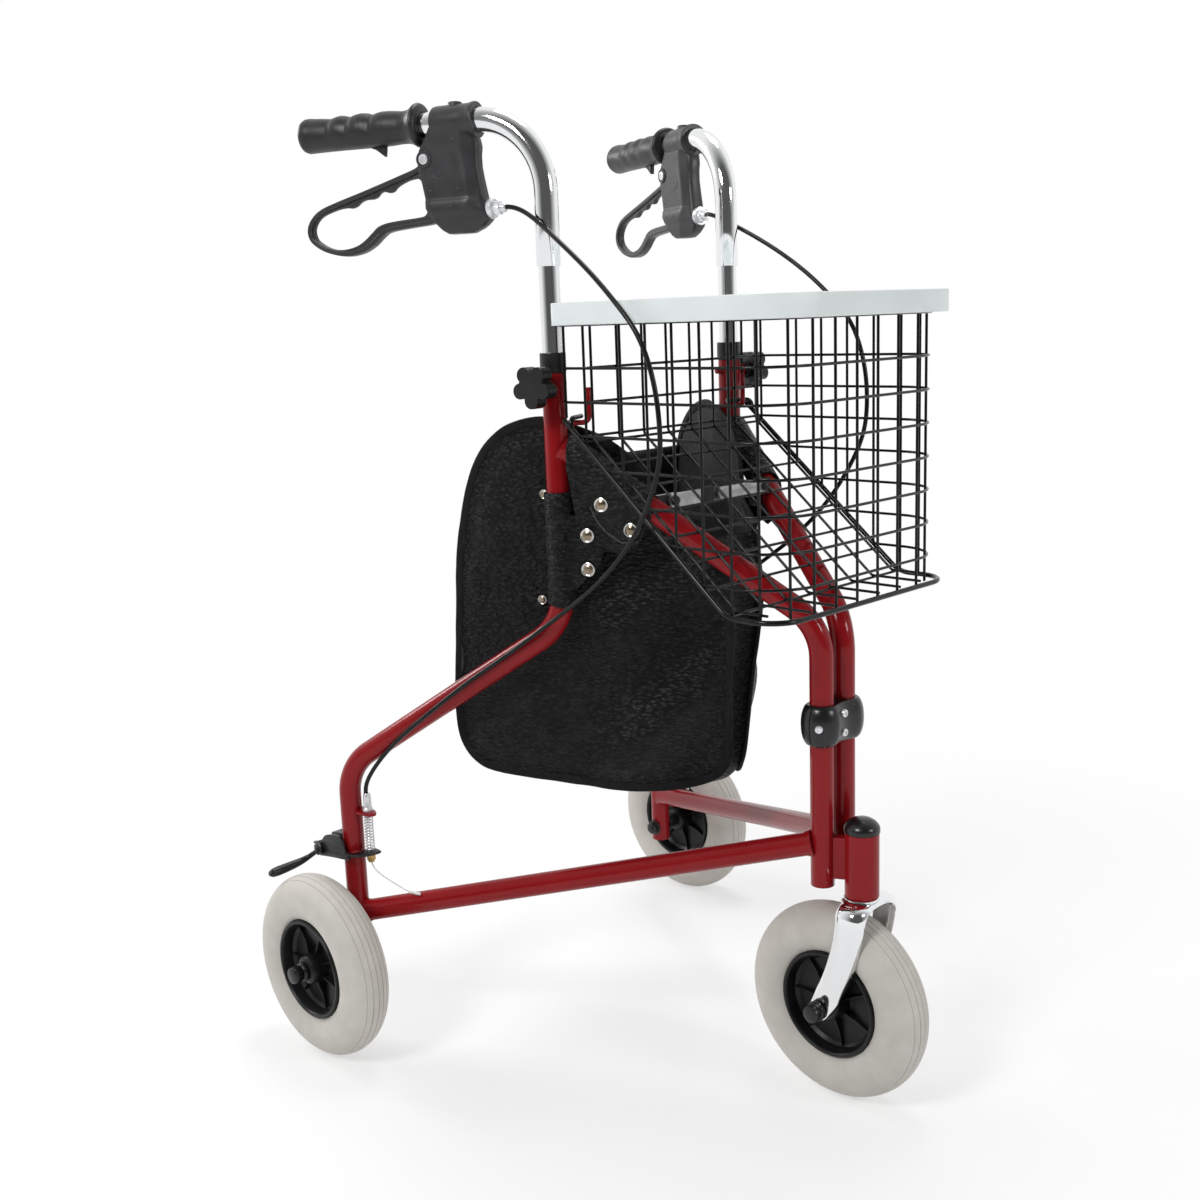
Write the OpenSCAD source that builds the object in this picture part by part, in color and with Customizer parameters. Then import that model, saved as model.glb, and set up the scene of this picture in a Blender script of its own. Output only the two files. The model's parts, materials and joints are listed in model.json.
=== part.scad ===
/* [Wheels] */
// Diameter of each wheel over its tyre
wheel_d = 190; // [170:1:200]
// Width of each tyre
tyre_w = 48; // [44:1:52]
// Outer diameter of each plastic rim
rim_d = 104; // [90:1:112]
// Width of each plastic rim
rim_w = 40; // [34:1:42]
// Width of each hub between its end faces
hub_w = 46; // [42:1:50]
// Diameter of each hub
hub_d = 30; // [24:1:40]
// Diameter of each axle
axle_d = 8; // [6:1:10]
// Number of ribs on each face of a rim
rib_count = 7; // [5:1:9]

/* [Side frames] */
// Outer diameter of the frame tubes
tube_d = 22.2; // [21:0.1:24]
// Angle of each side frame to the line of travel
frame_half = 26.5; // [22:0.5:30]
// Distance between the two front posts
post_gap = 33; // [31:1:38]
// Distance from a front post back to its handle receiver
receiver_s = 245; // [235:1:260]
// Distance from a front post back to its rear leg
leg_s = 488; // [470:1:510]
// Height of the receiver's top end
receiver_top = 690; // [670:1:720]
// Height where receiver and rear leg would meet
upper_bend_z = 454; // [440:1:465]
// Height where the slanted rear leg turns down
lower_bend_z = 296; // [285:1:310]
// Height of the rear leg's lower end
leg_bottom = 78; // [70:1:82]
// Bend radius of the frame tubes
frame_bend = 55; // [45:1:60]
// Height of the front post's lower end
post_bottom = 214; // [212:1:222]
// Height where front post and slanted top tube would meet
post_bend_z = 460; // [450:1:470]
// Rise angle of the slanted top tube
top_tube_rise = 34; // [32:0.5:36]
// Height of the lower rail at the front post
rail_front_z = 256; // [252:1:262]
// Height of the lower rail at the rear leg
rail_rear_z = 136; // [130:1:145]

/* [Handles] */
// Diameter of the sliding handle stem
stem_d = 19; // [18:0.1:19.4]
// Outer diameter of the handle tube above the stem
handle_d = 22.2; // [21:0.1:24]
// Height of the step between stem and handle tube
stem_top = 785; // [770:1:800]
// Length of stem inside the receiver
stem_insert = 120; // [90:1:150]
// Height of the handle tube's level part
handle_z = 917.5; // [900:0.5:940]
// Bend radius of the handle tube
handle_bend = 68; // [55:1:70]
// Reach of the grip's end behind the receiver
grip_end = 254; // [240:1:280]
// Length of the grip
grip_l = 132; // [120:1:140]
// Largest diameter of the grip's body
grip_d = 33; // [30:1:36]
// Turn of each handle from its side frame
handle_turn = 5.8; // [0:0.1:10]
// Height of the collar on the receiver
collar_h = 18; // [12:1:24]
// Diameter across the star knob's lobes
knob_d = 40; // [32:1:44]

/* [Brakes] */
// Length of the brake lever's loop
lever_l = 145; // [135:1:150]
// Depth of the brake lever's loop
lever_h = 82; // [76:1:86]
// Thickness of the brake lever
lever_t = 10; // [8:0.5:11]
// Diameter of the brake cable's casing
cable_d = 5; // [4:0.5:6]
// Diameter of the brake spring over its wire
spring_d = 9; // [8:0.5:10]
// Wire diameter of the brake spring
spring_wire = 1.2; // [0.8:0.1:1.4]
// Number of turns in the brake spring
spring_turns = 12; // [8:1:13]
// Gap between brake shoe and tyre when released
shoe_gap = 6; // [6:0.5:8]
// Diameter of the brake shoe's bar
shoe_d = 10; // [8:0.5:11]

/* [Front caster] */
// Distance of the steering axis in front of the posts
head_x = 32.2; // [31:0.2:36]
// Outer diameter of the head tube
head_d = 31.8; // [30:0.2:34]
// Height of the head tube's lower end
head_bottom = 207; // [206:0.5:210]
// Length of the head tube
head_l = 61; // [56:1:66]
// Trail of the front axle behind the steering axis
caster_trail = 26.7; // [20:0.1:32]
// Gap between the fork's arms
fork_gap = 54; // [53:1:60]
// Thickness of the fork's arms
fork_t = 6; // [4:0.5:8]
// Diameter of the fork's stem
fork_stem_d = 20; // [16:1:22]

/* [Basket and tray] */
// Reach of the basket's front wall ahead of the posts
basket_front = 39; // [30:1:45]
// Reach of the basket's side walls behind the posts
basket_rear = 203; // [200:1:205]
// Distance of the basket's rear wall behind the posts
rear_wall = 178; // [170:1:180]
// Width of the basket between its side walls
basket_w = 256; // [250:2:264]
// Corner radius of the basket's front
basket_corner = 50; // [40:1:60]
// Height of the basket's floor
basket_floor = 488; // [487:1:492]
// Diameter of the basket's thin wires
wire_d = 2.6; // [2:0.2:3]
// Diameter of the basket's rim and hook wires
rim_wire_d = 5; // [4:0.5:5.5]
// Spacing of the wires
wire_pitch = 30.5; // [28:0.5:34]
// Height of the tray's rim
tray_top = 752; // [750:1:760]
// Depth of the tray's skirt
tray_skirt = 20; // [18:1:24]
// Depth of the tray's dish
tray_dish = 13; // [8:1:14]
// Overhang of the tray past the basket
tray_over = 11; // [8:1:12]

/* [Bag] */
// Height of the bag's bottom
bag_bottom = 293; // [285:1:300]
// Height of the bag's top behind the receivers
bag_top = 641; // [625:1:650]
// Wall thickness of the bag
bag_wall = 2.4; // [2:0.2:3]

/* [Hidden] */
$fn = 48;

// Clearances: sliding and turning fits, seated faces, and one overrun for cuts
fit = 0.06;
seat = 0.2;
loose = 0.5;
over = 40;
// A bend is a hair thicker than the straight parts that run into it
bend_swell = 0.08;
bend_lap = 0.6;

// Radii and places that follow from the sizes above
wheel_r = wheel_d / 2;
rim_r = rim_d / 2;
axle_r = axle_d / 2;
tube_r = tube_d / 2;
tube_in = stem_d + 2 * fit;
stem_r = stem_d / 2;
handle_r = handle_d / 2;
leg_x = leg_s * cos(frame_half);
leg_y = post_gap / 2 + leg_s * sin(frame_half);
receiver_x = receiver_s * cos(frame_half);
receiver_y = post_gap / 2 + receiver_s * sin(frame_half);
front_wheel_x = head_x - caster_trail;
origin_x = (leg_x - front_wheel_x) / 2;
top_tube_end_z = post_bend_z + receiver_s * tan(top_tube_rise);
steel_wall = tube_r - tube_in / 2;

// Distance of a rear wheel's middle plane from its leg
wheel_off = 48;
// Tyre section: height of its widest part, drop of its grooves and their places across the tread
tyre_mid_share = 0.42;
groove_depth = 0.7;
groove_half_deg = 0.9;
groove_shares = [0.335, 0.42, 0.5, 0.58, 0.665];
tyre_steps = 5;
// Rim: wall under the tyre, web and ribs
rim_wall = 5;
rim_lip = 2;
web_t = 7;
rib_t = 2.6;
rib_h = 28;
// Axle fittings
spacer_d = 15;
nut_af = 13;
nut_h = 7;
cap_d = 17;
cap_l = 16.5;
cap_round = 2.5;
nut_wall = 2;

// Star knob: height on the receiver, turn, reach, boss and lobes
knob_drop = 11;
knob_turn = 15;
knob_boss_d = 14;
knob_boss_reach = 17;
knob_screw_d = 6;
knob_neck_l = 5;
knob_neck_d = 18;
knob_t = 15;
knob_lobe_share = 0.36;
knob_core_share = 0.66;
knob_stub_reach = 17;
collar_wall = 2.6;

// Basket hook on the receiver: rod, height of its foot, gap and height of its free leg
hook_rod_d = 5;
hook_z = 644;
hook_gap = 19.5;
hook_rise = 32;
hook_bend = 7;

// Brake parts behind each rear wheel, measured from the leg: back, out and up
stop_z = 247;
stop_t = 3;
stop_back = -20.5;
stop_in = -6;
stop_w = 24;
stop_hole_d = 4;
ferrule_d = 7;
ferrule_l = 16;
brake_wire_d = 1.6;
pivot_back = 35;
pivot_z = 203;
pivot_d = 6;
arm_in = 15;
arm_t = 2.5;
arm_h = 12;
arm_eye_r = 8;
tab_top = 207.5;
tab_l = 11;
tab_clear = 5;
tab_hole_d = 5;
shoe_back = 58;
shoe_in = 2;
shoe_l = 51;
bracket_h = 20;
bracket_in = 4;
bracket_t = 4;
bracket_wall = 2.6;
bolt_head_d = 11;
bolt_head_h = 4;
nut_d = 9;
adjust_nut_h = 7;
tail_d = 1.6;
tail_joint_d = 2;
tail_drop = 12;
tail_run = 44;
tail_fall = 22;
tail_cap_d = 2.8;
tail_cap_l = 9;
spring_clear = 0.4;
spring_rings = 8;
spring_self_share = 0.6;
spring_sides = 6;

// Brake lever and housing on the handle, measured from the receiver: back and up
lever_back = 117;
lever_drop = 31.5;
lever_pin_d = 6;
lever_pin_head_d = 10;
lever_pin_head_h = 3;
lever_eye_r = 8;
housing_w = 24;
housing_slot_w = 11.4;
housing_ring_r = 15.5;
housing_front = 71;
housing_back = 120;
housing_foot = 99.5;
slot_front = 99;
slot_rise = 14;
adjuster_drop = 78.5;
adjuster_face = 64;
adjuster_l = 20;
adjuster_d = 10;
adjuster_nut_share = 0.35;
adjuster_neck_share = 0.7;
barrel_d = 19;
barrel_back = 92;
lever_outer_shares = [[-0.02, 0.10], [0.10, 0.00], [0.26, -0.09], [0.44, -0.17], [0.66, -0.25], [0.86, -0.31],
  [0.965, -0.42], [0.985, -0.55], [0.945, -0.74], [0.85, -0.93], [0.72, -1.0], [0.58, -0.91],
  [0.43, -0.78], [0.28, -0.72], [0.14, -0.73], [0.05, -0.71], [0.025, -0.60], [0.06, -0.45],
  [0.05, -0.28], [-0.03, -0.12]];
lever_inner_shares = [[0.14, -0.20], [0.28, -0.25], [0.46, -0.34], [0.66, -0.40], [0.84, -0.46], [0.905, -0.54],
  [0.87, -0.70], [0.79, -0.82], [0.71, -0.86], [0.60, -0.79], [0.45, -0.66], [0.29, -0.60],
  [0.16, -0.61], [0.115, -0.56], [0.135, -0.42]];
housing_shares = [[0.0, 0.0], [1.0, -0.08], [1.0, -0.22], [1.08, -0.27], [1.1, -0.40], [0.92, -0.50], [0.74, -0.72],
  [0.60, -0.94], [0.30, -1.0], [0.10, -0.92], [0.04, -0.60], [-0.02, -0.15]];
lever_smooth = 3;
grip_flange_d = 40;
grip_flange_l = 6;
grip_wave_share = 0.07;
grip_waves = 4;
grip_wall = 5;
grip_gap = 1.5;
grip_steps = 32;

// Head tube, gusset, lower hinge ring, clamp and fork
gusset_t = 9;
gusset_low = 222;
gusset_h = 40;
ring_low = 216;
ring_h = 21;
ring_wall = 4;
cap_head_h = 14;
cap_head_over = 0.8;
cap_head_edge_share = 0.35;
cap_head_steps = 8;
clamp_low = 349;
clamp_h = 40;
clamp_wall = 5.4;
clamp_split = 0.8;
clamp_screw_d = 4;
clamp_screw_head_d = 8;
clamp_screw_head_h = 2.5;
clamp_screw_shares = [0.28, 0.72];
crown_t = 10;
crown_top = 205;
crown_l = 34;
crown_shift = 2.5;
arm_top_w = 29;
arm_low_w = 21;
fork_arm_steps = 10;
fork_knee_share = 0.55;
fork_look_share = 0.05;
fork_washer = 1.5;
fork_cap_l = 13;

// Folding brace between the top tubes
brace_s = 140;
brace_in = 18;
brace_z = 570;
link_h = 13;
link_t = 2.5;
link_past = 6;
link_step = 6.2;
brace_plate_t = 5;
brace_plate_h = 26;
brace_plate_past = 8;
brace_plate_out = 20;
brace_screw_d = 5;
brace_head_d = 9;
brace_head_h = 2.5;
rivet_d = 8;
rivet_h = 1.8;
strap_w = 14;
strap_t = 1.2;
strap_play = 0.3;
strap_centre = -4;

// Basket details
slope_start = 14;
floor_rod_back = 7;
hook_wire_in = 26;
hook_post_d = 4;
hook_wire_d = 4.8;
edge_wire_d = 4.6;
slope_end_z = 650;
basket_rise = (slope_end_z - basket_floor) / (basket_rear - slope_start);
wire_sides = 8;
tray_t = 3;
rim_z = tray_top - tray_dish - tray_t - seat - rim_wire_d / 2;
tray_rear = 207;
tray_corner = 60;
tray_rear_corner = 12;
weave = 0.82;
row_share = 0.75;

// Bag outline, measured from the posts
bag_front_x = 80;
bag_front_half = 15;
bag_rear_x = 325;
bag_side_room = 18.5;
bag_rear_half = post_gap / 2 + bag_rear_x * tan(frame_half) - bag_side_room;
bag_foot_half = 122;
bag_front_z = 500;
bag_flat_x = 267;
bag_back_x = 285;
bag_back_z = 470;
bag_rear_wall_z = 560;
bag_side_share = 1.5;
sleeve_low = 495;
sleeve_h = 95;
sleeve_wall = 2;
sleeve_play = 0.3;
sleeve_tab = 28.9;

// Route of the right brake cable from its adjuster to its stop, from the posts: forward, left, up
cable_route = [[-228, -138, 830], [-185, -147, 806], [-143, -152, 778], [-110, -154, 750], [-86, -154, 724],
  [-72, -153, 692], [-66, -152, 657], [-68, -150, 618], [-85, -147, 580], [-113, -144, 541],
  [-155, -142, 502], [-210, -143, 464], [-256, -161, 428], [-300, -182, 395], [-337, -201, 363],
  [-371, -216, 333], [-398, -224, 305]];
cable_steps = 3;
cable_sides = 8;

// Vector helpers
function unit(v) = v / norm(v);
function rot90(v) = [-v[1], v[0]];
function mix(a, b, t) = a + (b - a) * t;
function spline_at(a, b, c, d, t) =
  (2 * b + (c - a) * t + (2 * a - 5 * b + 4 * c - d) * t * t + (3 * b - a - 3 * c + d) * t * t * t) / 2;
function open_spline(p, n) = concat([for (i = [0 : len(p) - 2]) for (j = [0 : n - 1])
  spline_at(p[max(i - 1, 0)], p[i], p[i + 1], p[min(i + 2, len(p) - 1)], j / n)], [p[len(p) - 1]]);
function closed_spline(p, n) = [for (i = [0 : len(p) - 1]) for (j = [0 : n - 1])
  spline_at(p[(i + len(p) - 1) % len(p)], p[i], p[(i + 1) % len(p)], p[(i + 2) % len(p)], j / n)];
function lever_points(shares) = closed_spline([for (q = shares) [q[0] * lever_l, q[1] * lever_h]], lever_smooth);
function slope_z(x) = basket_floor + max(0, x - slope_start) * basket_rise;

// Places on the right side: frame (back, out, up), handle (back, out, up) and leg (back, out, up)
function frame_at(s, o, z) = [origin_x - s * cos(frame_half) + o * sin(frame_half),
  -post_gap / 2 - s * sin(frame_half) - o * cos(frame_half), z];
handle_half = frame_half - handle_turn;
function handle_at(h, o, z) = frame_at(receiver_s, 0, z)
  + [-h * cos(handle_half) + o * sin(handle_half), -h * sin(handle_half) - o * cos(handle_half), 0];
function leg_at(b, o, z) = frame_at(leg_s, 0, z) + [-b, -o, 0];

module frame_place() {
  translate([origin_x, -post_gap / 2, 0]) rotate([0, 0, 180 + frame_half]) children();
}
module handle_place() {
  frame_place() translate([receiver_s, 0, 0]) rotate([0, 0, -handle_turn]) children();
}
module leg_place() {
  frame_place() translate([leg_s, 0, 0]) rotate([0, 0, -frame_half]) children();
}
module post_place() {
  translate([origin_x, 0, 0]) children();
}
module left_side() {
  mirror([0, 1, 0]) children();
}

// A round bar along the out direction, from one distance to another
module cross_bar(d, from, to) {
  translate([0, from, 0]) rotate([-90, 0, 0]) cylinder(d = d, h = to - from);
}
module cross_hex(af, from, to) {
  translate([0, from, 0]) rotate([-90, 0, 0]) cylinder(d = af / cos(30), h = to - from, $fn = 6);
}
// A round bar along the back direction
module long_bar(d, from, to) {
  translate([from, 0, 0]) rotate([0, 90, 0]) cylinder(d = d, h = to - from);
}

// Rod bent in one upright plane through points given as (back, up)
module bent_rod(p, bend, d) {
  n = len(p);
  dirs = [for (i = [0 : n - 2]) unit(p[i + 1] - p[i])];
  turn = [for (i = [0 : n - 1]) (i == 0 || i == n - 1) ? 0 : acos(dirs[i - 1] * dirs[i])];
  trim = [for (i = [0 : n - 1]) bend * tan(turn[i] / 2)];
  union() {
    for (i = [0 : n - 2]) {
      a = p[i] + dirs[i] * (trim[i] - (i > 0 ? bend_lap : 0));
      b = p[i + 1] - dirs[i] * (trim[i + 1] - (i < n - 2 ? bend_lap : 0));
      translate([a[0], 0, a[1]]) rotate([0, atan2(dirs[i][0], dirs[i][1]), 0]) cylinder(d = d, h = norm(b - a));
    }
    for (i = [1 : 1 : n - 2]) {
      side = sign(cross(dirs[i - 1], dirs[i]));
      start = p[i] - dirs[i - 1] * trim[i];
      centre = start + rot90(dirs[i - 1]) * side * bend;
      arm = start - centre;
      first = atan2(arm[1], arm[0]);
      translate([centre[0], 0, centre[1]]) rotate([90, 0, 0])
        rotate([0, 0, side > 0 ? first : first - turn[i]])
          rotate_extrude(angle = turn[i]) translate([bend, 0]) circle(d = d + 2 * bend_swell);
    }
  }
}
// Tube bent the same way: a rod with a thinner rod taken out of it
module bent_tube(p, bend, d_out, d_in) {
  difference() {
    bent_rod(p, bend, d_out);
    bent_rod(p, bend, d_in);
  }
}
// Round strand swept along points, its sections set square to the path
module strand(path, d, sides, ref) {
  n = len(path);
  tangent = [for (i = [0 : n - 1]) unit(path[min(i + 1, n - 1)] - path[max(i - 1, 0)])];
  across = [for (i = [0 : n - 1]) unit(cross(tangent[i], ref))];
  normal = [for (i = [0 : n - 1]) cross(across[i], tangent[i])];
  pts = [for (i = [0 : n - 1]) for (k = [0 : sides - 1])
    path[i] + d / 2 * (cos(360 * k / sides) * across[i] + sin(360 * k / sides) * normal[i])];
  walls = [for (i = [0 : n - 2]) for (k = [0 : sides - 1]) each [
    [i * sides + k, i * sides + (k + 1) % sides, (i + 1) * sides + (k + 1) % sides],
    [i * sides + k, (i + 1) * sides + (k + 1) % sides, (i + 1) * sides + k]]];
  first = [for (k = [1 : sides - 2]) [0, k + 1, k]];
  last = [for (k = [1 : sides - 2]) [(n - 1) * sides, (n - 1) * sides + k, (n - 1) * sides + k + 1]];
  polyhedron(points = pts, faces = concat(walls, first, last));
}

// Rear leg and handle receiver, one bent tube with its knob boss and cable stop
module main_tube() {
  frame_place() difference() {
    union() {
      bent_tube([[receiver_s, receiver_top], [receiver_s, upper_bend_z], [leg_s, lower_bend_z],
        [leg_s, leg_bottom]], frame_bend, tube_d, tube_in);
      translate([receiver_s, 0, receiver_top - knob_drop]) rotate([0, 0, -knob_turn]) {
        cross_bar(knob_boss_d, tube_in / 3, knob_boss_reach);
        cross_bar(knob_screw_d, -knob_stub_reach, -tube_in / 3);
      }
      translate([leg_s, 0, 0]) rotate([0, 0, -frame_half])
        translate([stop_back - stop_w / 3, stop_in - stop_w / 3, stop_z])
          cube([stop_w, stop_w * 2 / 3, stop_t]);
    }
    translate([receiver_s, 0, upper_bend_z + frame_bend]) cylinder(d = tube_in, h = receiver_top);
    translate([leg_s, 0, leg_bottom - over]) cylinder(d = tube_in, h = lower_bend_z - leg_bottom);
    translate([receiver_s, 0, receiver_top - knob_drop]) rotate([0, 0, -knob_turn])
      cross_bar(knob_screw_d + 2 * fit, 0, knob_boss_reach + over);
    translate([leg_s, 0, wheel_r]) rotate([0, 0, -frame_half]) cross_bar(axle_d + 2 * fit, -over, over);
    translate([leg_s, 0, stop_z - over]) rotate([0, 0, -frame_half]) translate([stop_back, stop_in, 0])
      cylinder(d = stop_hole_d, h = 2 * over);
  }
}
module right_main_tube() {
  color("darkred") main_tube();
}
module left_main_tube() {
  color("darkred") left_side() main_tube();
}

// Front post and slanted top tube, one bent tube welded to the receiver
module front_tube() {
  frame_place() difference() {
    bent_tube([[0, post_bottom], [0, post_bend_z], [receiver_s, top_tube_end_z]], frame_bend, tube_d, tube_in);
    translate([receiver_s, 0, 0]) cylinder(d = tube_d + 2 * seat, h = receiver_top);
  }
}
module right_front_tube() {
  color("darkred") front_tube();
}
module left_front_tube() {
  color("darkred") left_side() front_tube();
}

// Lower rail between rear leg and front post
module lower_rail() {
  frame_place() difference() {
    bent_tube([[leg_s, rail_rear_z], [0, rail_front_z]], frame_bend, tube_d, tube_in);
    translate([leg_s, 0, 0]) cylinder(d = tube_d + 2 * seat, h = lower_bend_z);
    cylinder(d = tube_d + 2 * seat, h = post_bend_z);
  }
}
module right_lower_rail() {
  color("darkred") lower_rail();
}
module left_lower_rail() {
  color("darkred") left_side() lower_rail();
}

// Bent rod that carries the basket
hook_leg_s = receiver_s - tube_r - hook_gap - hook_rod_d / 2;
module basket_hook() {
  frame_place() difference() {
    bent_rod([[receiver_s, hook_z], [hook_leg_s, hook_z], [hook_leg_s, hook_z + hook_rise]],
      hook_bend, hook_rod_d);
    translate([receiver_s, 0, hook_z - over]) cylinder(d = tube_d + 2 * seat, h = 2 * over);
  }
}
module right_basket_hook() {
  color("darkred") basket_hook();
}
module left_basket_hook() {
  color("darkred") left_side() basket_hook();
}

// Plastic collar on the receiver's end
module collar() {
  frame_place() translate([receiver_s, 0, receiver_top]) difference() {
    cylinder(d = stem_d + 2 * collar_wall, h = collar_h);
    translate([0, 0, -over]) cylinder(d = stem_d + 2 * fit, h = collar_h + 2 * over);
  }
}
module right_collar() {
  color("#1c1c1e") collar();
}
module left_collar() {
  color("#1c1c1e") left_side() collar();
}

// Bracket that clips round the leg and carries the brake arm on its bolt
module brake_bracket() {
  leg_place() translate([0, 0, pivot_z]) difference() {
    union() {
      translate([0, 0, -bracket_h / 2]) cylinder(d = tube_d + 2 * (seat + bracket_wall), h = bracket_h);
      translate([0, bracket_in, -bracket_h / 2]) cube([pivot_back, bracket_t, bracket_h]);
      translate([pivot_back, 0, 0]) {
        cross_bar(bracket_h, bracket_in, bracket_in + bracket_t);
        cross_bar(pivot_d, bracket_in, arm_in + arm_t + bolt_head_h + loose);
        cross_bar(bolt_head_d, bracket_in + bracket_t, arm_in - seat);
        cross_bar(bolt_head_d, arm_in + arm_t + seat, arm_in + arm_t + seat + bolt_head_h);
        cross_hex(bolt_head_d, bracket_in - bolt_head_h, bracket_in);
      }
    }
    translate([0, 0, -over]) cylinder(d = tube_d + 2 * seat, h = 2 * over);
  }
}
module right_brake_bracket() {
  color("#26262a") brake_bracket();
}
module left_brake_bracket() {
  color("#26262a") left_side() brake_bracket();
}

// Rear axle with its nut, spacer and end cap
module axle_cap(from) {
  translate([0, from, 0]) rotate([-90, 0, 0]) rotate_extrude()
    polygon([[0, 0], [cap_d / 2, 0], [cap_d / 2, cap_l - cap_round], [cap_d / 2 - cap_round, cap_l], [0, cap_l]]);
}
module rear_axle() {
  leg_place() translate([0, 0, wheel_r]) {
    cross_bar(axle_d, -tube_r - seat - nut_h - nut_wall, wheel_off + hub_w / 2 + cap_l / 2);
    cross_hex(nut_af, -tube_r - seat - nut_h, -tube_r - seat);
    cross_bar(spacer_d, tube_r + seat, wheel_off - hub_w / 2 - seat);
    axle_cap(wheel_off + hub_w / 2 + seat);
  }
}
module right_rear_axle() {
  color("#303034") rear_axle();
}
module left_rear_axle() {
  color("#303034") left_side() rear_axle();
}

// Coil spring between cable stop and brake arm
spring_low = tab_top + spring_clear;
spring_high = stop_z - spring_clear;
spring_r = (spring_d - spring_wire) / 2;
spring_rise = spring_high - spring_low - spring_wire;
function spring_at(t) = [spring_r * cos(360 * t), spring_r * sin(360 * t),
  spring_wire / 2 + spring_rise * t / spring_turns];
spring_path = concat([spring_at(0) - [0, spring_wire, 0]],
  [for (i = [0 : spring_turns * spring_rings]) spring_at(i / spring_rings)],
  [spring_at(spring_turns) + [0, spring_wire, 0]]);
spring_self_gap = min([for (i = [0 : len(spring_path) - 1])
  for (j = [i + ceil(spring_rings * spring_self_share) : 1 : len(spring_path) - 1])
  norm(spring_path[i] - spring_path[j])]) - spring_wire;
echo(spring_self_gap = spring_self_gap);
module brake_spring() {
  leg_place() translate([stop_back, stop_in, spring_low]) strand(spring_path, spring_wire, spring_sides, [0, 0, 1]);
}
module right_brake_spring() {
  color("silver") brake_spring();
}
module left_brake_spring() {
  color("silver") left_side() brake_spring();
}

// Ferrule on the cable stop and the bare wire below it
module brake_wire() {
  leg_place() translate([stop_back, stop_in, 0]) {
    translate([0, 0, stop_z + stop_t]) cylinder(d = ferrule_d, h = ferrule_l);
    translate([0, 0, tab_top - arm_t]) cylinder(d = brake_wire_d, h = stop_z + stop_t - tab_top + 2 * arm_t);
  }
}
module right_brake_wire() {
  color("silver") brake_wire();
}
module left_brake_wire() {
  color("silver") left_side() brake_wire();
}

// Brake cable casing from the adjuster to the ferrule
cable_in = handle_at(adjuster_face - adjuster_l, 0, handle_z - adjuster_drop);
cable_lead = handle_at(adjuster_face - adjuster_l - 3 * cable_d, 0, handle_z - adjuster_drop);
cable_out = leg_at(stop_back, stop_in, stop_z + stop_t + ferrule_l);
cable_tail = leg_at(stop_back, stop_in, stop_z + stop_t + ferrule_l + 3 * cable_d);
cable_path = concat([cable_in], open_spline(concat([cable_lead],
  [for (q = cable_route) q + [origin_x, 0, 0]], [cable_tail]), cable_steps), [cable_out]);
cable_length = sum_of([for (i = [1 : len(cable_path) - 1]) norm(cable_path[i] - cable_path[i - 1])]);
function sum_of(v, i = 0) = i < len(v) ? v[i] + sum_of(v, i + 1) : 0;
echo(cable_length = cable_length);
module brake_cable() {
  strand(cable_path, cable_d, cable_sides, [0, 1, 0]);
}
module right_brake_cable() {
  color("#141416") brake_cable();
}
module left_brake_cable() {
  color("#141416") left_side() brake_cable();
}

// Plate on the top tube that carries a brace link on its screw
brace_pivot = frame_at(brace_s, -brace_in, brace_z);
module brace_bracket(step) {
  difference() {
    translate(brace_pivot) union() {
      translate([-brace_plate_t, -brace_plate_out, -brace_plate_h + link_h / 2])
        cube([brace_plate_t, brace_plate_out + brace_plate_past, brace_plate_h]);
      long_bar(brace_screw_d, -brace_plate_t, step + link_t + 2 * seat + brace_head_h);
      long_bar(brace_head_d, step + link_t + 2 * seat, step + link_t + 2 * seat + brace_head_h);
      if (step > 0) long_bar(brace_head_d, 0, step);
    }
    frame_place() translate([0, 0, post_bend_z]) rotate([0, 90 - top_tube_rise, 0])
      translate([0, 0, -over]) cylinder(d = tube_d + 2 * seat, h = receiver_s + 2 * over);
  }
}
module right_brace_bracket() {
  color("#26262a") brace_bracket(0);
}
module left_brace_bracket() {
  color("#26262a") left_side() brace_bracket(link_step);
}

// Handle: stem, bend and level part in one tube
module handle_tube() {
  handle_place() union() {
    translate([0, 0, receiver_top - stem_insert]) difference() {
      cylinder(d = stem_d, h = stem_top - receiver_top + stem_insert);
      cylinder(d = stem_d - 2 * steel_wall, h = stem_top - receiver_top + stem_insert);
    }
    bent_tube([[0, stem_top], [0, handle_z], [grip_end - grip_wall - grip_gap, handle_z]],
      handle_bend, handle_d, stem_d - 2 * steel_wall);
  }
}
module right_handle_tube() {
  color("#d9dadc") handle_tube();
}
module left_handle_tube() {
  color("#d9dadc") left_side() handle_tube();
}

// Rubber grip with finger waves, an end wall and a flange
function grip_radius(t) = grip_d / 2 * (1 - grip_wave_share * (1 - cos(360 * grip_waves * t)) / 2);
module grip() {
  body = [for (i = [0 : grip_steps])
    [grip_radius(i / grip_steps), mix(grip_flange_l, grip_l - grip_wall, i / grip_steps)]];
  handle_place() translate([grip_end - grip_l, 0, handle_z]) rotate([0, 90, 0]) difference() {
    rotate_extrude() polygon(concat([[0, 0], [grip_flange_d / 2, 0], [grip_flange_d / 2, grip_flange_l / 2],
      [grip_d / 2, grip_flange_l]], [for (i = [1 : grip_steps]) body[i]],
      [[grip_d / 2 - grip_wall / 2, grip_l], [0, grip_l]]));
    translate([0, 0, -over]) cylinder(d = handle_d + 2 * seat, h = grip_l + over - grip_wall);
  }
}
module right_grip() {
  color("#2a2a2d") grip();
}
module left_grip() {
  color("#2a2a2d") left_side() grip();
}

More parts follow.
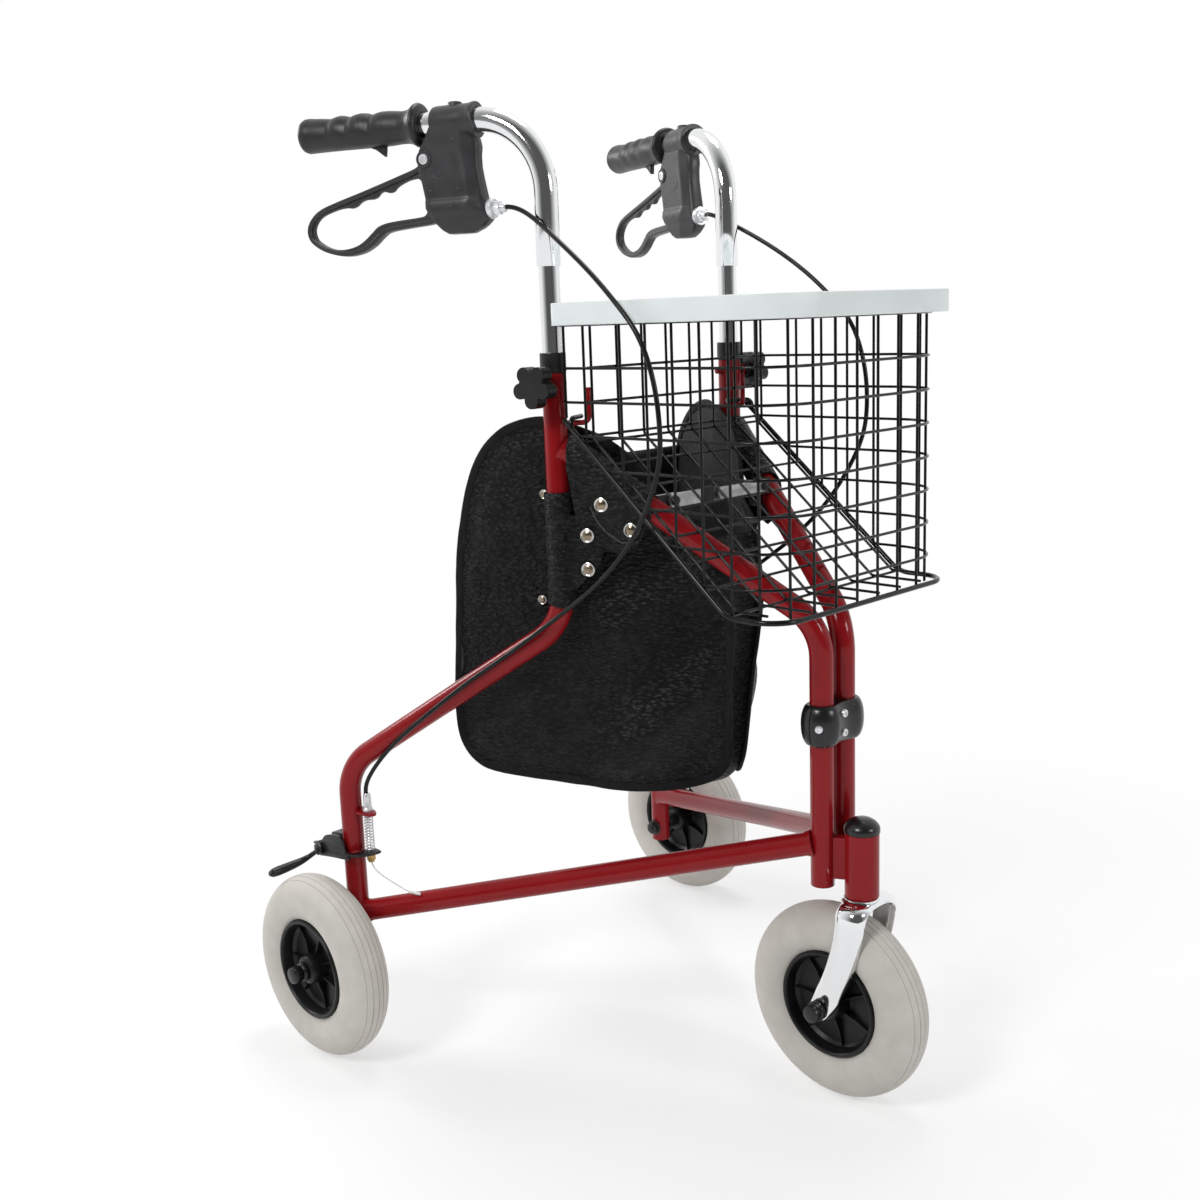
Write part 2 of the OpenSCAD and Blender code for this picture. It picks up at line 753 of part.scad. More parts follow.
// Brake housing clamped on the handle tube, slotted for the lever, with the lever's pivot screw
module brake_housing() {
  span = housing_back - housing_front;
  outline = [for (q = housing_shares) [housing_front + q[0] * span, q[1] * housing_foot]];
  handle_place() translate([0, 0, handle_z]) difference() {
    union() {
      long_bar(2 * housing_ring_r, housing_front, housing_back);
      translate([0, housing_w / 2, 0]) rotate([90, 0, 0]) linear_extrude(height = housing_w) polygon(outline);
      translate([0, 0, -adjuster_drop]) long_bar(barrel_d, adjuster_face, barrel_back);
    }
    long_bar(handle_d + 2 * seat, housing_front - over, housing_back + over);
    translate([slot_front, -housing_slot_w / 2, -housing_foot - over])
      cube([over + housing_back, housing_slot_w, housing_foot + over - handle_r - slot_rise / 2]);
  }
  handle_place() translate([lever_back, 0, handle_z - lever_drop]) {
    cross_bar(lever_pin_d, -housing_w / 2 - lever_pin_head_h, housing_w / 2 + lever_pin_head_h);
    cross_bar(lever_pin_head_d, housing_w / 2, housing_w / 2 + lever_pin_head_h);
    cross_hex(lever_pin_head_d, -housing_w / 2 - lever_pin_head_h, -housing_w / 2);
  }
}
module right_brake_housing() {
  color("#222225") brake_housing();
}
module left_brake_housing() {
  color("#222225") left_side() brake_housing();
}

// Threaded adjuster where the cable enters the housing
module cable_adjuster() {
  handle_place() translate([0, 0, handle_z - adjuster_drop]) {
    long_bar(adjuster_d, adjuster_face - adjuster_l * adjuster_nut_share, adjuster_face);
    long_bar(adjuster_d * adjuster_neck_share, adjuster_face - adjuster_l, adjuster_face);
  }
}
module right_cable_adjuster() {
  color("silver") cable_adjuster();
}
module left_cable_adjuster() {
  color("silver") left_side() cable_adjuster();
}

// Loop lever
module brake_lever() {
  handle_place() translate([lever_back, 0, handle_z - lever_drop]) difference() {
    union() {
      translate([0, lever_t / 2, 0]) rotate([90, 0, 0]) linear_extrude(height = lever_t)
        polygon(lever_points(lever_outer_shares));
      cross_bar(2 * lever_eye_r, -lever_t / 2, lever_t / 2);
    }
    translate([0, over, 0]) rotate([90, 0, 0]) linear_extrude(height = 2 * over)
      polygon(lever_points(lever_inner_shares));
    cross_bar(lever_pin_d + 2 * fit, -over, over);
  }
}
module right_brake_lever() {
  color("#1e1e20") brake_lever();
}
module left_brake_lever() {
  color("#1e1e20") left_side() brake_lever();
}

// Star knob with its clamping screw
module knob() {
  lobe = knob_d * knob_lobe_share / 2;
  frame_place() translate([receiver_s, 0, receiver_top - knob_drop]) rotate([0, 0, -knob_turn])
    rotate([-90, 0, 0]) union() {
      translate([0, 0, stem_r + seat]) cylinder(d = knob_screw_d, h = knob_boss_reach + knob_neck_l);
      translate([0, 0, knob_boss_reach + seat]) cylinder(d = knob_neck_d, h = knob_neck_l);
      translate([0, 0, knob_boss_reach + seat + knob_neck_l]) linear_extrude(height = knob_t) {
        circle(d = knob_d * knob_core_share);
        for (i = [0 : 4]) rotate([0, 0, 90 + 72 * i]) translate([knob_d / 2 - lobe, 0]) circle(r = lobe);
      }
    }
}
module right_knob() {
  color("#19191b") knob();
}
module left_knob() {
  color("#19191b") left_side() knob();
}

// Stamped brake arm: eye, side strip, front tab with its nut and wire tail, and shoe
shoe_z = wheel_r + sqrt(pow(wheel_r + shoe_d / 2 + shoe_gap, 2) - shoe_back * shoe_back);
tab_front = -tube_r - tab_clear - tab_l;
module brake_arm() {
  strip = [[tab_front, tab_top - arm_h / 2], [pivot_back, pivot_z - arm_eye_r], [shoe_back, shoe_z - shoe_d / 2],
    [shoe_back + shoe_d / 2, shoe_z], [shoe_back, shoe_z + shoe_d / 2], [pivot_back, pivot_z + arm_eye_r],
    [tab_front, tab_top + arm_h / 2]];
  leg_place() difference() {
    union() {
      translate([0, arm_in + arm_t, 0]) rotate([90, 0, 0]) linear_extrude(height = arm_t) polygon(strip);
      translate([tab_front, stop_in - nut_d, tab_top - arm_t])
        cube([tab_l, arm_in + arm_t - stop_in + nut_d, arm_t]);
      translate([shoe_back, 0, shoe_z]) cross_bar(shoe_d, arm_in + shoe_in, arm_in + shoe_in + shoe_l);
      translate([stop_back, stop_in, tab_top - arm_t - adjust_nut_h]) cylinder(d = nut_d, h = adjust_nut_h);
      translate([stop_back, stop_in, tab_top - arm_t - adjust_nut_h - tail_drop])
        cylinder(d = tail_d, h = tail_drop + adjust_nut_h / 2);
      translate([stop_back, stop_in, tab_top - arm_t - adjust_nut_h - tail_drop]) {
        sphere(d = tail_joint_d);
        rotate([0, -90 - atan2(tail_fall, tail_run), 0]) {
          cylinder(d = tail_d, h = norm([tail_run, tail_fall]));
          translate([0, 0, norm([tail_run, tail_fall])]) cylinder(d = tail_cap_d, h = tail_cap_l);
        }
      }
    }
    translate([pivot_back, 0, pivot_z]) cross_bar(pivot_d + 2 * fit, arm_in - over / 4, arm_in + over);
    translate([stop_back, stop_in, tab_top - arm_t]) cylinder(d = tab_hole_d, h = over);
  }
}
module right_brake_arm() {
  color("#2c2c30") brake_arm();
}
module left_brake_arm() {
  color("#2c2c30") left_side() brake_arm();
}

// Tyre section as (radius, offset) and the wheel parts about an upright axis
tyre_in = rim_r + seat;
tyre_c = mix(tyre_in, wheel_r, tyre_mid_share);
tyre_up = wheel_r - tyre_c;
tyre_a0 = -asin((tyre_c - tyre_in) / tyre_up);
groove_angles = [for (g = groove_shares) mix(0, 180, g)];
tyre_edges = concat([tyre_a0], groove_angles, [180 - tyre_a0]);
function tyre_at(a, drop) = [tyre_c + (tyre_up - drop) * sin(a), -tyre_w / 2 * cos(a)];
module tyre() {
  k = len(tyre_edges) - 2;
  rotate_extrude($fn = 96) polygon([for (i = [0 : k]) each concat(
    [for (j = [0 : tyre_steps]) tyre_at(mix(tyre_edges[i] + (i > 0 ? groove_half_deg : 0),
      tyre_edges[i + 1] - (i < k ? groove_half_deg : 0), j / tyre_steps), 0)],
    i < k ? [tyre_at(tyre_edges[i + 1], groove_depth)] : [])]);
}
module rim() {
  difference() {
    union() {
      rotate_extrude($fn = 96) polygon([[rim_r - rim_wall, -rim_w / 2], [rim_r - rim_lip / 2, -rim_w / 2],
        [rim_r, -rim_w / 2 + rim_lip], [rim_r, rim_w / 2 - rim_lip], [rim_r - rim_lip / 2, rim_w / 2],
        [rim_r - rim_wall, rim_w / 2]]);
      translate([0, 0, -web_t / 2]) cylinder(r = rim_r - rim_wall / 2, h = web_t);
      translate([0, 0, -hub_w / 2]) cylinder(d = hub_d, h = hub_w);
      for (i = [0 : rib_count - 1]) rotate([0, 0, 360 * i / rib_count])
        translate([hub_d / 4, -rib_t / 2, -rib_h / 2]) cube([rim_r - rim_wall / 2 - hub_d / 4, rib_t, rib_h]);
    }
    translate([0, 0, -hub_w]) cylinder(d = axle_d + 2 * fit, h = 2 * hub_w);
  }
}
module rear_wheel_place() {
  leg_place() translate([0, wheel_off, wheel_r]) rotate([90, 0, 0]) children();
}
module right_rear_tyre() {
  color("#c9c6c0") rear_wheel_place() tyre();
}
module left_rear_tyre() {
  color("#c9c6c0") left_side() rear_wheel_place() tyre();
}
module right_rear_rim() {
  color("#18181a") rear_wheel_place() rim();
}
module left_rear_rim() {
  color("#18181a") left_side() rear_wheel_place() rim();
}

// Brace links: flat bars from each top tube to the middle
module brace_link(step) {
  reach = -brace_pivot[1] + link_past;
  translate(brace_pivot + [step + seat, 0, 0]) difference() {
    union() {
      rotate([90, 0, 90]) linear_extrude(height = link_t) {
        circle(d = link_h);
        translate([0, -link_h / 2]) square([reach - link_h / 2, link_h]);
        translate([reach - link_h / 2, 0]) circle(d = link_h);
      }
      translate([0, -brace_pivot[1], 0])
        long_bar(rivet_d, step > 0 ? 0 : -rivet_h, step > 0 ? link_t + rivet_h : link_t);
    }
    long_bar(brace_screw_d + 2 * fit, -over, over);
  }
}
module right_brace_link() {
  color("#b9bbbe") brace_link(0);
}
module left_brace_link() {
  color("#b9bbbe") left_side() brace_link(link_step);
}
// Webbing loop round the right link
module brace_strap() {
  ring = strap_play + strap_t;
  color("#151517") translate([brace_pivot[0] + seat, strap_centre - strap_w - rivet_d / 2, brace_z]) difference() {
    translate([-ring, 0, -link_h / 2 - ring]) cube([link_t + 2 * ring, strap_w, link_h + 2 * ring]);
    translate([-strap_play, -over, -link_h / 2 - strap_play])
      cube([link_t + 2 * strap_play, strap_w + 2 * over, link_h + 2 * strap_play]);
  }
}

// Head tube with the gusset to the right post and the lower hinge ring on the left post
module head_tube() {
  dir = atan2(post_gap / 2, head_x);
  span = norm([head_x, post_gap / 2]);
  color("darkred") post_place() difference() {
    union() {
      translate([head_x, 0, head_bottom]) cylinder(d = head_d, h = head_l);
      translate([0, -post_gap / 2, gusset_low]) rotate([0, 0, dir])
        translate([0, -gusset_t / 2, 0]) cube([span, gusset_t, gusset_h]);
      translate([0, post_gap / 2, ring_low]) rotate([0, 0, -dir])
        translate([0, -gusset_t / 2, 0]) cube([span, gusset_t, ring_h]);
      translate([0, post_gap / 2, ring_low]) cylinder(d = tube_d + 2 * ring_wall, h = ring_h);
    }
    translate([head_x, 0, head_bottom - over]) cylinder(d = fork_stem_d + 2 * fit, h = head_l + 2 * over);
    translate([0, -post_gap / 2, post_bottom - over]) cylinder(d = tube_d + 2 * seat, h = post_bend_z);
    translate([0, post_gap / 2, post_bottom - over]) cylinder(d = tube_d + 2 * fit, h = post_bend_z);
  }
}
// Domed cap on the head tube
module head_cap() {
  r = head_d / 2 + cap_head_over;
  color("#19191b") post_place() translate([head_x, 0, head_bottom + head_l]) rotate_extrude()
    polygon(concat([[0, 0], [r, 0]], [for (i = [0 : cap_head_steps]) [r * cos(90 * i / cap_head_steps),
      cap_head_h * mix(cap_head_edge_share, 1, sin(90 * i / cap_head_steps))]], [[0, cap_head_h]]));
}

// Two-part clamp over both posts; the right post is fixed and the left post turns in it
module clamp_block(front) {
  r = tube_r + clamp_wall;
  post_place() translate([0, 0, clamp_low]) difference() {
    union() {
      for (s = [-1, 1]) translate([0, s * post_gap / 2, 0]) cylinder(r = r, h = clamp_h);
      translate([-r, -post_gap / 2, 0]) cube([2 * r, post_gap, clamp_h]);
      if (front) {
        for (q = clamp_screw_shares) translate([0, 0, q * clamp_h])
          long_bar(clamp_screw_head_d, 0, r + clamp_screw_head_h);
        translate([0, -post_gap / 2, clamp_h * clamp_screw_shares[0]]) rotate([0, 0, -frame_half * 2])
          long_bar(clamp_screw_head_d, tube_r + clamp_wall / 2, r + clamp_screw_head_h);
      }
    }
    translate([0, -post_gap / 2, -over]) cylinder(d = tube_d + 2 * seat, h = clamp_h + 2 * over);
    translate([0, post_gap / 2, -over]) cylinder(d = tube_d + 2 * fit, h = clamp_h + 2 * over);
    translate([front ? clamp_split / 2 - 2 * over : -clamp_split / 2, -2 * over, -over])
      cube([2 * over, 4 * over, clamp_h + 2 * over]);
  }
}
module clamp_front() {
  color("#1d1d1f") clamp_block(true);
}
module clamp_rear() {
  color("#1d1d1f") clamp_block(false);
}

// Soft bag between the side frames: shell with an open top and a sleeve round each receiver
module bag_form(inset) {
  rise = (bag_top - bag_front_z) / (bag_flat_x - bag_front_x);
  lift = inset > 0 ? over : 0;
  front = bag_front_x + inset;
  rear = bag_rear_x - inset;
  post_place() intersection() {
    linear_extrude(height = bag_top + over) polygon([[-front, bag_front_half - inset * bag_side_share],
      [-front, -bag_front_half + inset * bag_side_share], [-rear, -bag_rear_half + inset * bag_side_share],
      [-rear, bag_rear_half - inset * bag_side_share]]);
    translate([0, bag_rear_half, 0]) rotate([90, 0, 0]) linear_extrude(height = 2 * bag_rear_half)
      polygon([[-front, bag_bottom + inset], [-rear, bag_bottom + inset], [-rear, bag_back_z + lift],
        [-bag_back_x + inset, bag_top + lift], [-bag_flat_x, bag_top + lift], [-front, bag_front_z + lift]]);
    translate([-bag_rear_x, 0, 0]) rotate([90, 0, 90]) linear_extrude(height = bag_rear_x)
      polygon([[-bag_rear_half + inset, bag_top + lift], [-bag_foot_half + inset, bag_bottom + inset],
        [bag_foot_half - inset, bag_bottom + inset], [bag_rear_half - inset, bag_top + lift]]);
  }
}
module bag_sleeve() {
  r = tube_r + sleeve_play;
  frame_place() translate([receiver_s, 0, sleeve_low]) difference() {
    union() {
      cylinder(r = r + sleeve_wall, h = sleeve_h);
      translate([-sleeve_wall / 2, -sleeve_tab, 0]) cube([sleeve_wall, sleeve_tab, sleeve_h]);
    }
    translate([0, 0, -over]) cylinder(r = r, h = sleeve_h + 2 * over);
  }
}
module bag() {
  color("#1a1a1b") union() {
    difference() {
      bag_form(0);
      bag_form(bag_wall);
    }
    difference() {
      union() {
        bag_sleeve();
        left_side() bag_sleeve();
      }
      bag_form(bag_wall / 2);
    }
  }
}

// Chromed fork: stem, crown and two curved arms
arm_knee = [head_x + crown_shift, mix(wheel_r, crown_top, fork_knee_share)];
function fork_line(t) = mix(mix([head_x + crown_shift, crown_top - crown_t / 2], arm_knee, t),
  mix(arm_knee, [front_wheel_x, wheel_r], t), t);
function fork_edge(t, side) = fork_line(t) + side * mix(arm_top_w, arm_low_w, t) / 2
  * rot90(unit(fork_line(min(t + fork_look_share, 1)) - fork_line(max(t - fork_look_share, 0))));
module fork_arm() {
  pts = concat([for (i = [0 : fork_arm_steps]) fork_edge(i / fork_arm_steps, 1)],
    [for (i = [fork_arm_steps : -1 : 0]) fork_edge(i / fork_arm_steps, -1)]);
  translate([0, fork_gap / 2 + fork_t, 0]) rotate([90, 0, 0]) linear_extrude(height = fork_t) polygon(pts);
  translate([front_wheel_x, 0, wheel_r]) cross_bar(arm_low_w, fork_gap / 2, fork_gap / 2 + fork_t);
}
module fork() {
  color("#d4d5d7") post_place() difference() {
    union() {
      translate([head_x + crown_shift - crown_l / 2, -fork_gap / 2 - fork_t, crown_top - crown_t])
        cube([crown_l, fork_gap + 2 * fork_t, crown_t]);
      translate([head_x, 0, crown_top - crown_t]) {
        cylinder(d = fork_stem_d, h = head_bottom + head_l - crown_top + crown_t - seat);
        cylinder(d = fork_stem_d + 2 * nut_wall, h = head_bottom - crown_top + crown_t - seat);
      }
      fork_arm();
      mirror([0, 1, 0]) fork_arm();
    }
    translate([front_wheel_x, 0, wheel_r]) cross_bar(axle_d + 2 * fit, -over - fork_gap, over + fork_gap);
  }
}
// Front axle with its spacers and end caps
module front_axle() {
  color("#303034") post_place() translate([front_wheel_x, 0, wheel_r]) {
    cross_bar(axle_d, -fork_gap / 2 - fork_t - fork_cap_l / 2, fork_gap / 2 + fork_t + fork_cap_l / 2);
    for (s = [0, 1]) mirror([0, s, 0]) {
      cross_bar(spacer_d, hub_w / 2 + seat, fork_gap / 2 - seat);
      cross_bar(cap_d, fork_gap / 2 + fork_t + seat, fork_gap / 2 + fork_t + fork_cap_l);
    }
  }
}
module front_wheel_place() {
  post_place() translate([front_wheel_x, 0, wheel_r]) rotate([90, 0, 0]) children();
}
module front_tyre() {
  color("#c9c6c0") front_wheel_place() tyre();
}
module front_rim() {
  color("#18181a") front_wheel_place() rim();
}

// Straight wire between two points
module wire(a, b, d) {
  v = b - a;
  translate(a) rotate([0, acos(v[2] / norm(v)), atan2(v[1], v[0])]) rotate([0, 0, 180 / wire_sides])
    cylinder(d = d, h = norm(v), $fn = wire_sides);
}
basket_half = basket_w / 2;
side_front_x = basket_front - basket_corner;
net_rows = floor((rim_z - basket_floor - wire_pitch / 2) / wire_pitch);
side_cols = floor((side_front_x + rear_wall) / wire_pitch);
function row_z(i) = basket_floor + (i + row_share) * wire_pitch;
function row_end(z) = -min(basket_rear, slope_start + max(0, z - basket_floor) / basket_rise);
// Side net, drawn on the right: upright wires inside, level wires outside
module side_net() {
  step = wire_d * weave / 2;
  post_place() {
    for (x = concat([-basket_rear, -rear_wall], [for (i = [0 : side_cols - 1]) side_front_x - i * wire_pitch]))
      wire([x, -basket_half + step, slope_z(-x)], [x, -basket_half + step, rim_z - rim_wire_d / 2], wire_d);
    for (i = [0 : net_rows - 1]) wire([row_end(row_z(i)), -basket_half - step, row_z(i)],
      [side_front_x, -basket_half - step, row_z(i)], wire_d);
  }
}
module basket_right_net() {
  color("#111113") side_net();
}
module basket_left_net() {
  color("#111113") left_side() side_net();
}
// Front net with its two round corners
front_half = basket_half - basket_corner;
module corner_wire(r, z, d) {
  for (s = [0, 1]) mirror([0, s, 0]) translate([side_front_x, front_half, z]) rotate_extrude(angle = 90)
    translate([r, 0]) rotate([0, 0, 180 / wire_sides]) circle(d = d, $fn = wire_sides);
}
module basket_front_net() {
  step = wire_d * weave / 2;
  count = floor(2 * front_half / wire_pitch);
  gap = 2 * front_half / count;
  color("#111113") post_place() {
    for (i = [0 : net_rows - 1]) {
      wire([basket_front + step, -front_half, row_z(i)], [basket_front + step, front_half, row_z(i)], wire_d);
      corner_wire(basket_corner + step, row_z(i), wire_d);
    }
    for (j = [0 : count]) wire([basket_front - step, -front_half + j * gap, basket_floor],
      [basket_front - step, -front_half + j * gap, rim_z - rim_wire_d / 2], wire_d);
    for (s = [-1, 1]) for (a = [30, 60]) {
      x = side_front_x + (basket_corner - step) * cos(a);
      y = s * (front_half + (basket_corner - step) * sin(a));
      wire([x, y, basket_floor], [x, y, rim_z - rim_wire_d / 2], wire_d);
    }
  }
}
// Slope wires, and the upright rear wall above them
slope_half = basket_half - rim_wire_d - wire_d;
slope_count = floor(2 * slope_half / wire_pitch);
function slope_y(j) = -slope_half + wire_d + j * 2 * (slope_half - wire_d) / slope_count;
module basket_rear_net() {
  step = wire_d * weave / 2;
  color("#111113") post_place() {
    for (j = [0 : slope_count]) wire([-rear_wall, slope_y(j), slope_z(rear_wall)],
      [-rear_wall, slope_y(j), rim_z - rim_wire_d], wire_d);
    for (i = [0 : net_rows - 1]) if (row_z(i) > slope_z(rear_wall))
      wire([-rear_wall - 2 * step, -slope_half, row_z(i)], [-rear_wall - 2 * step, slope_half, row_z(i)], wire_d);
  }
}
module basket_slope_net() {
  step = wire_d * weave / 2;
  rows = floor((rear_wall - slope_start) / (wire_pitch * cos(atan(basket_rise))));
  run = (rear_wall - slope_start) / rows;
  color("#111113") post_place() {
    for (j = [0 : slope_count]) wire([-rear_wall, slope_y(j), slope_z(rear_wall) + step],
      [-slope_start, slope_y(j), slope_z(slope_start) + step], wire_d);
    for (i = [1 : rows]) wire([-slope_start - i * run, -slope_half, slope_z(slope_start + i * run) - step],
      [-slope_start - i * run, slope_half, slope_z(slope_start + i * run) - step], wire_d);
  }
}
// Rim, lower edge wires and the two hook wires that sit in the frame's hooks
module rod(a, b, d) {
  v = b - a;
  translate(a) rotate([0, acos(v[2] / norm(v)), atan2(v[1], v[0])]) cylinder(d = d, h = norm(v));
}
hook_point = frame_at(receiver_s - tube_r - hook_gap / 2, 0, hook_z + hook_rod_d / 2 + seat + hook_wire_d / 2);
module basket_edge() {
  y = basket_half + rim_wire_d / 2;
  low = basket_floor - rim_wire_d / 2;
  n = [sin(frame_half), -cos(frame_half), 0];
  hook = hook_point - [origin_x, 0, 0];
  start = hook + n * (y + hook[1]) / cos(frame_half);
  rod([-basket_rear, -y, slope_z(basket_rear) - rim_wire_d / 2], [-slope_start, -y, low], edge_wire_d);
  rod([-slope_start - rim_wire_d, -y, low], [side_front_x + bend_lap, -y, low], rim_wire_d);
  rod(start + n * rim_wire_d, hook - n * hook_wire_in / 2, hook_wire_d);
  rod([start[0], -y, slope_z(-start[0]) - rim_wire_d / 2], [start[0], -y, hook[2]], hook_post_d);
}
module rim_front(z) {
  for (s = [0, 1]) mirror([0, s, 0]) translate([side_front_x, front_half, z]) rotate_extrude(angle = 90)
    translate([basket_corner + rim_wire_d / 2, 0]) circle(d = rim_wire_d + 2 * bend_swell);
  rod([basket_front + rim_wire_d / 2, -front_half - bend_lap, z],
    [basket_front + rim_wire_d / 2, front_half + bend_lap, z], rim_wire_d);
}
module basket_rim() {
  y = basket_half + rim_wire_d / 2;
  color("#111113") post_place() {
    for (s = [-1, 1]) rod([-basket_rear, s * y, rim_z], [side_front_x + bend_lap, s * y, rim_z], rim_wire_d);
    rim_front(rim_z);
    rod([-rear_wall, -y, rim_z], [-rear_wall, y, rim_z], edge_wire_d);
  }
}
module basket_base() {
  color("#111113") post_place() {
    for (s = [0, 1]) mirror([0, s, 0]) basket_edge();
    rim_front(basket_floor - rim_wire_d / 2);
    rod([-floor_rod_back, -basket_half - rim_wire_d / 2, basket_floor - rim_wire_d / 2],
      [-floor_rod_back, basket_half + rim_wire_d / 2, basket_floor - rim_wire_d / 2], hook_post_d);
    for (j = [0 : slope_count]) if (abs(slope_y(j)) < front_half)
      wire([-floor_rod_back, slope_y(j), basket_floor], [basket_front + rim_wire_d / 2, slope_y(j), basket_floor],
        wire_d);
  }
}

// Dished tray with a skirt that drops over the basket's rim
module tray_plan(inset) {
  half = basket_half + rim_wire_d + tray_over - inset;
  front = basket_front + rim_wire_d + tray_over - inset;
  rear = tray_rear - inset;
  r = tray_corner - inset;
  q = tray_rear_corner - inset;
  union() {
    for (s = [-1, 1]) {
      translate([front - r, s * (half - r)]) circle(r = r);
      translate([-rear + q, s * (half - q)]) circle(r = q);
    }
    translate([-rear + q, -half]) square([front - r + rear - q, 2 * half]);
    translate([front - 2 * r, -half + r]) square([2 * r, 2 * (half - r)]);
    translate([-rear, -half + q]) square([2 * q, 2 * (half - q)]);
  }
}
module tray() {
  color("white") post_place() difference() {
    translate([0, 0, tray_top - tray_skirt]) linear_extrude(height = tray_skirt) tray_plan(0);
    translate([0, 0, tray_top - tray_dish]) linear_extrude(height = over) tray_plan(tray_t);
    translate([0, 0, tray_top - tray_dish - tray_t - over]) linear_extrude(height = over) tray_plan(tray_t);
  }
}

right_main_tube();
left_main_tube();
right_front_tube();
left_front_tube();
right_lower_rail();
left_lower_rail();
right_basket_hook();
left_basket_hook();
right_collar();
left_collar();
right_brake_bracket();
left_brake_bracket();
right_rear_axle();
left_rear_axle();
right_brake_spring();
left_brake_spring();
right_brake_wire();
left_brake_wire();
right_brake_cable();
left_brake_cable();
right_brace_bracket();
left_brace_bracket();
right_handle_tube();
left_handle_tube();
right_grip();
left_grip();
right_brake_housing();
left_brake_housing();
right_cable_adjuster();
left_cable_adjuster();
right_brake_lever();
left_brake_lever();
right_knob();
left_knob();
right_brake_arm();
left_brake_arm();
right_rear_tyre();
left_rear_tyre();
right_rear_rim();
left_rear_rim();
right_brace_link();
left_brace_link();
head_tube();
head_cap();
clamp_front();
clamp_rear();
bag();
brace_strap();
fork();
front_axle();
front_tyre();
front_rim();
basket_rim();
basket_base();
basket_right_net();
basket_left_net();
basket_front_net();
basket_slope_net();
basket_rear_net();
tray();
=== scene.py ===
import json
import math

import bmesh
import bpy
from mathutils import Matrix, Vector, noise

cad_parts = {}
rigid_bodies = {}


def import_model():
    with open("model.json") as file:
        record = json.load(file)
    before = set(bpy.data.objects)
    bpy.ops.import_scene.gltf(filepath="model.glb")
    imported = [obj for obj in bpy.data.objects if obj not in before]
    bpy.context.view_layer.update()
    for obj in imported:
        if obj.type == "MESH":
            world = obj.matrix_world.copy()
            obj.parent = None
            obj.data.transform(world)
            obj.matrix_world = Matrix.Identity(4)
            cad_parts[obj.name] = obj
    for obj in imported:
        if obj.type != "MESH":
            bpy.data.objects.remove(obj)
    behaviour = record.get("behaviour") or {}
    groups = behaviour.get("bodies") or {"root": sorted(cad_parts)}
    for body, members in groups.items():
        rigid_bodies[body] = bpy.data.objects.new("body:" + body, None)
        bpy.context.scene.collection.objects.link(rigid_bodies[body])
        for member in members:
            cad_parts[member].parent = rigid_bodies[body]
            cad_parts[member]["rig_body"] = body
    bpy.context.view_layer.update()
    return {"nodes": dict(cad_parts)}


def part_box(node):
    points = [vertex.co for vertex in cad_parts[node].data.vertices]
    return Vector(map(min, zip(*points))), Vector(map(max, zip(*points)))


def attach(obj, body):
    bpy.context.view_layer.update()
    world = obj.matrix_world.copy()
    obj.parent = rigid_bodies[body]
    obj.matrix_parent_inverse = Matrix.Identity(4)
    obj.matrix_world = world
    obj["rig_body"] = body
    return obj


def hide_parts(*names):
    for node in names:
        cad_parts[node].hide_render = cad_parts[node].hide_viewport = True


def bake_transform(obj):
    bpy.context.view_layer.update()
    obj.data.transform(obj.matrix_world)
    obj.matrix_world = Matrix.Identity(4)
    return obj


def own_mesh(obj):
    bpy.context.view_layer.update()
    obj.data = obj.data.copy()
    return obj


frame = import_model()
print("frame loaded:", len(frame["nodes"]), "nodes")

mm = 0.001


def moved(x=0, y=0, z=0):
    return Matrix.Translation((x, y, z))


def rotated(angle, axis="Z"):
    return Matrix.Rotation(angle, 4, axis)


# places shared by all pieces, in metres
layout = {
    "halfAngle": math.radians(26.5),
    "handleTurn": math.radians(5.8),
    "knobTurn": math.radians(15),
    "postHalf": 0.0165,
    "receiver": 0.245,
    "leg": 0.488,
    "wheelRadius": 0.095,
    "wheelOut": 0.048,
    "frontWheel": 0.0055,
    "headX": 0.0322,
}
originX = (layout["leg"] * math.cos(layout["halfAngle"]) - layout["frontWheel"]) / 2
postPlace = moved(originX)
headPlace = postPlace @ moved(layout["headX"])
framePlace = moved(originX, -layout["postHalf"]) @ rotated(math.pi + layout["halfAngle"])
handlePlace = framePlace @ moved(layout["receiver"]) @ rotated(-layout["handleTurn"])
legTurn = moved(layout["leg"]) @ rotated(-layout["halfAngle"])
legPlace = framePlace @ legTurn
outward = rotated(-math.pi / 2, "X")    # an upright axis turned to point out
backward = rotated(math.pi / 2, "Y")    # an upright axis turned to point back
axlePlace = legPlace @ moved(0, 0, layout["wheelRadius"]) @ outward
rearWheelPlace = legPlace @ moved(0, layout["wheelOut"], layout["wheelRadius"]) @ outward
frontWheelPlace = (postPlace @ moved(layout["frontWheel"], 0, layout["wheelRadius"])
                   @ rotated(math.pi) @ outward)
sides = {"right": Matrix.Identity(4), "left": Matrix.Scale(-1, 4, (0, 1, 0))}


# finishes


def connect(tree, node, inputs):
    for key, value in inputs.items():
        if isinstance(value, bpy.types.NodeSocket):
            tree.links.new(value, node.inputs[key])
        else:
            node.inputs[key].default_value = value


def addNode(tree, kind, inputs=None, **settings):
    node = tree.nodes.new("ShaderNode" + kind)
    for key, value in settings.items():
        setattr(node, key, value)
    connect(tree, node, inputs or {})
    return node


def maths(tree, operation, *values):
    return addNode(tree, "Math", dict(enumerate(values)), operation=operation).outputs["Value"]


def ranged(tree, value, span, low=0.0, high=1.0):
    inputs = {"Value": value, "From Min": span[0], "From Max": span[1], "To Min": low, "To Max": high}
    return addNode(tree, "MapRange", inputs).outputs["Result"]


def tinted(tree, colour, share, tint):
    inputs = {"Factor": share, "A": colour, "B": (*tint, 1)}
    return addNode(tree, "Mix", inputs, data_type="RGBA").outputs["Result"]


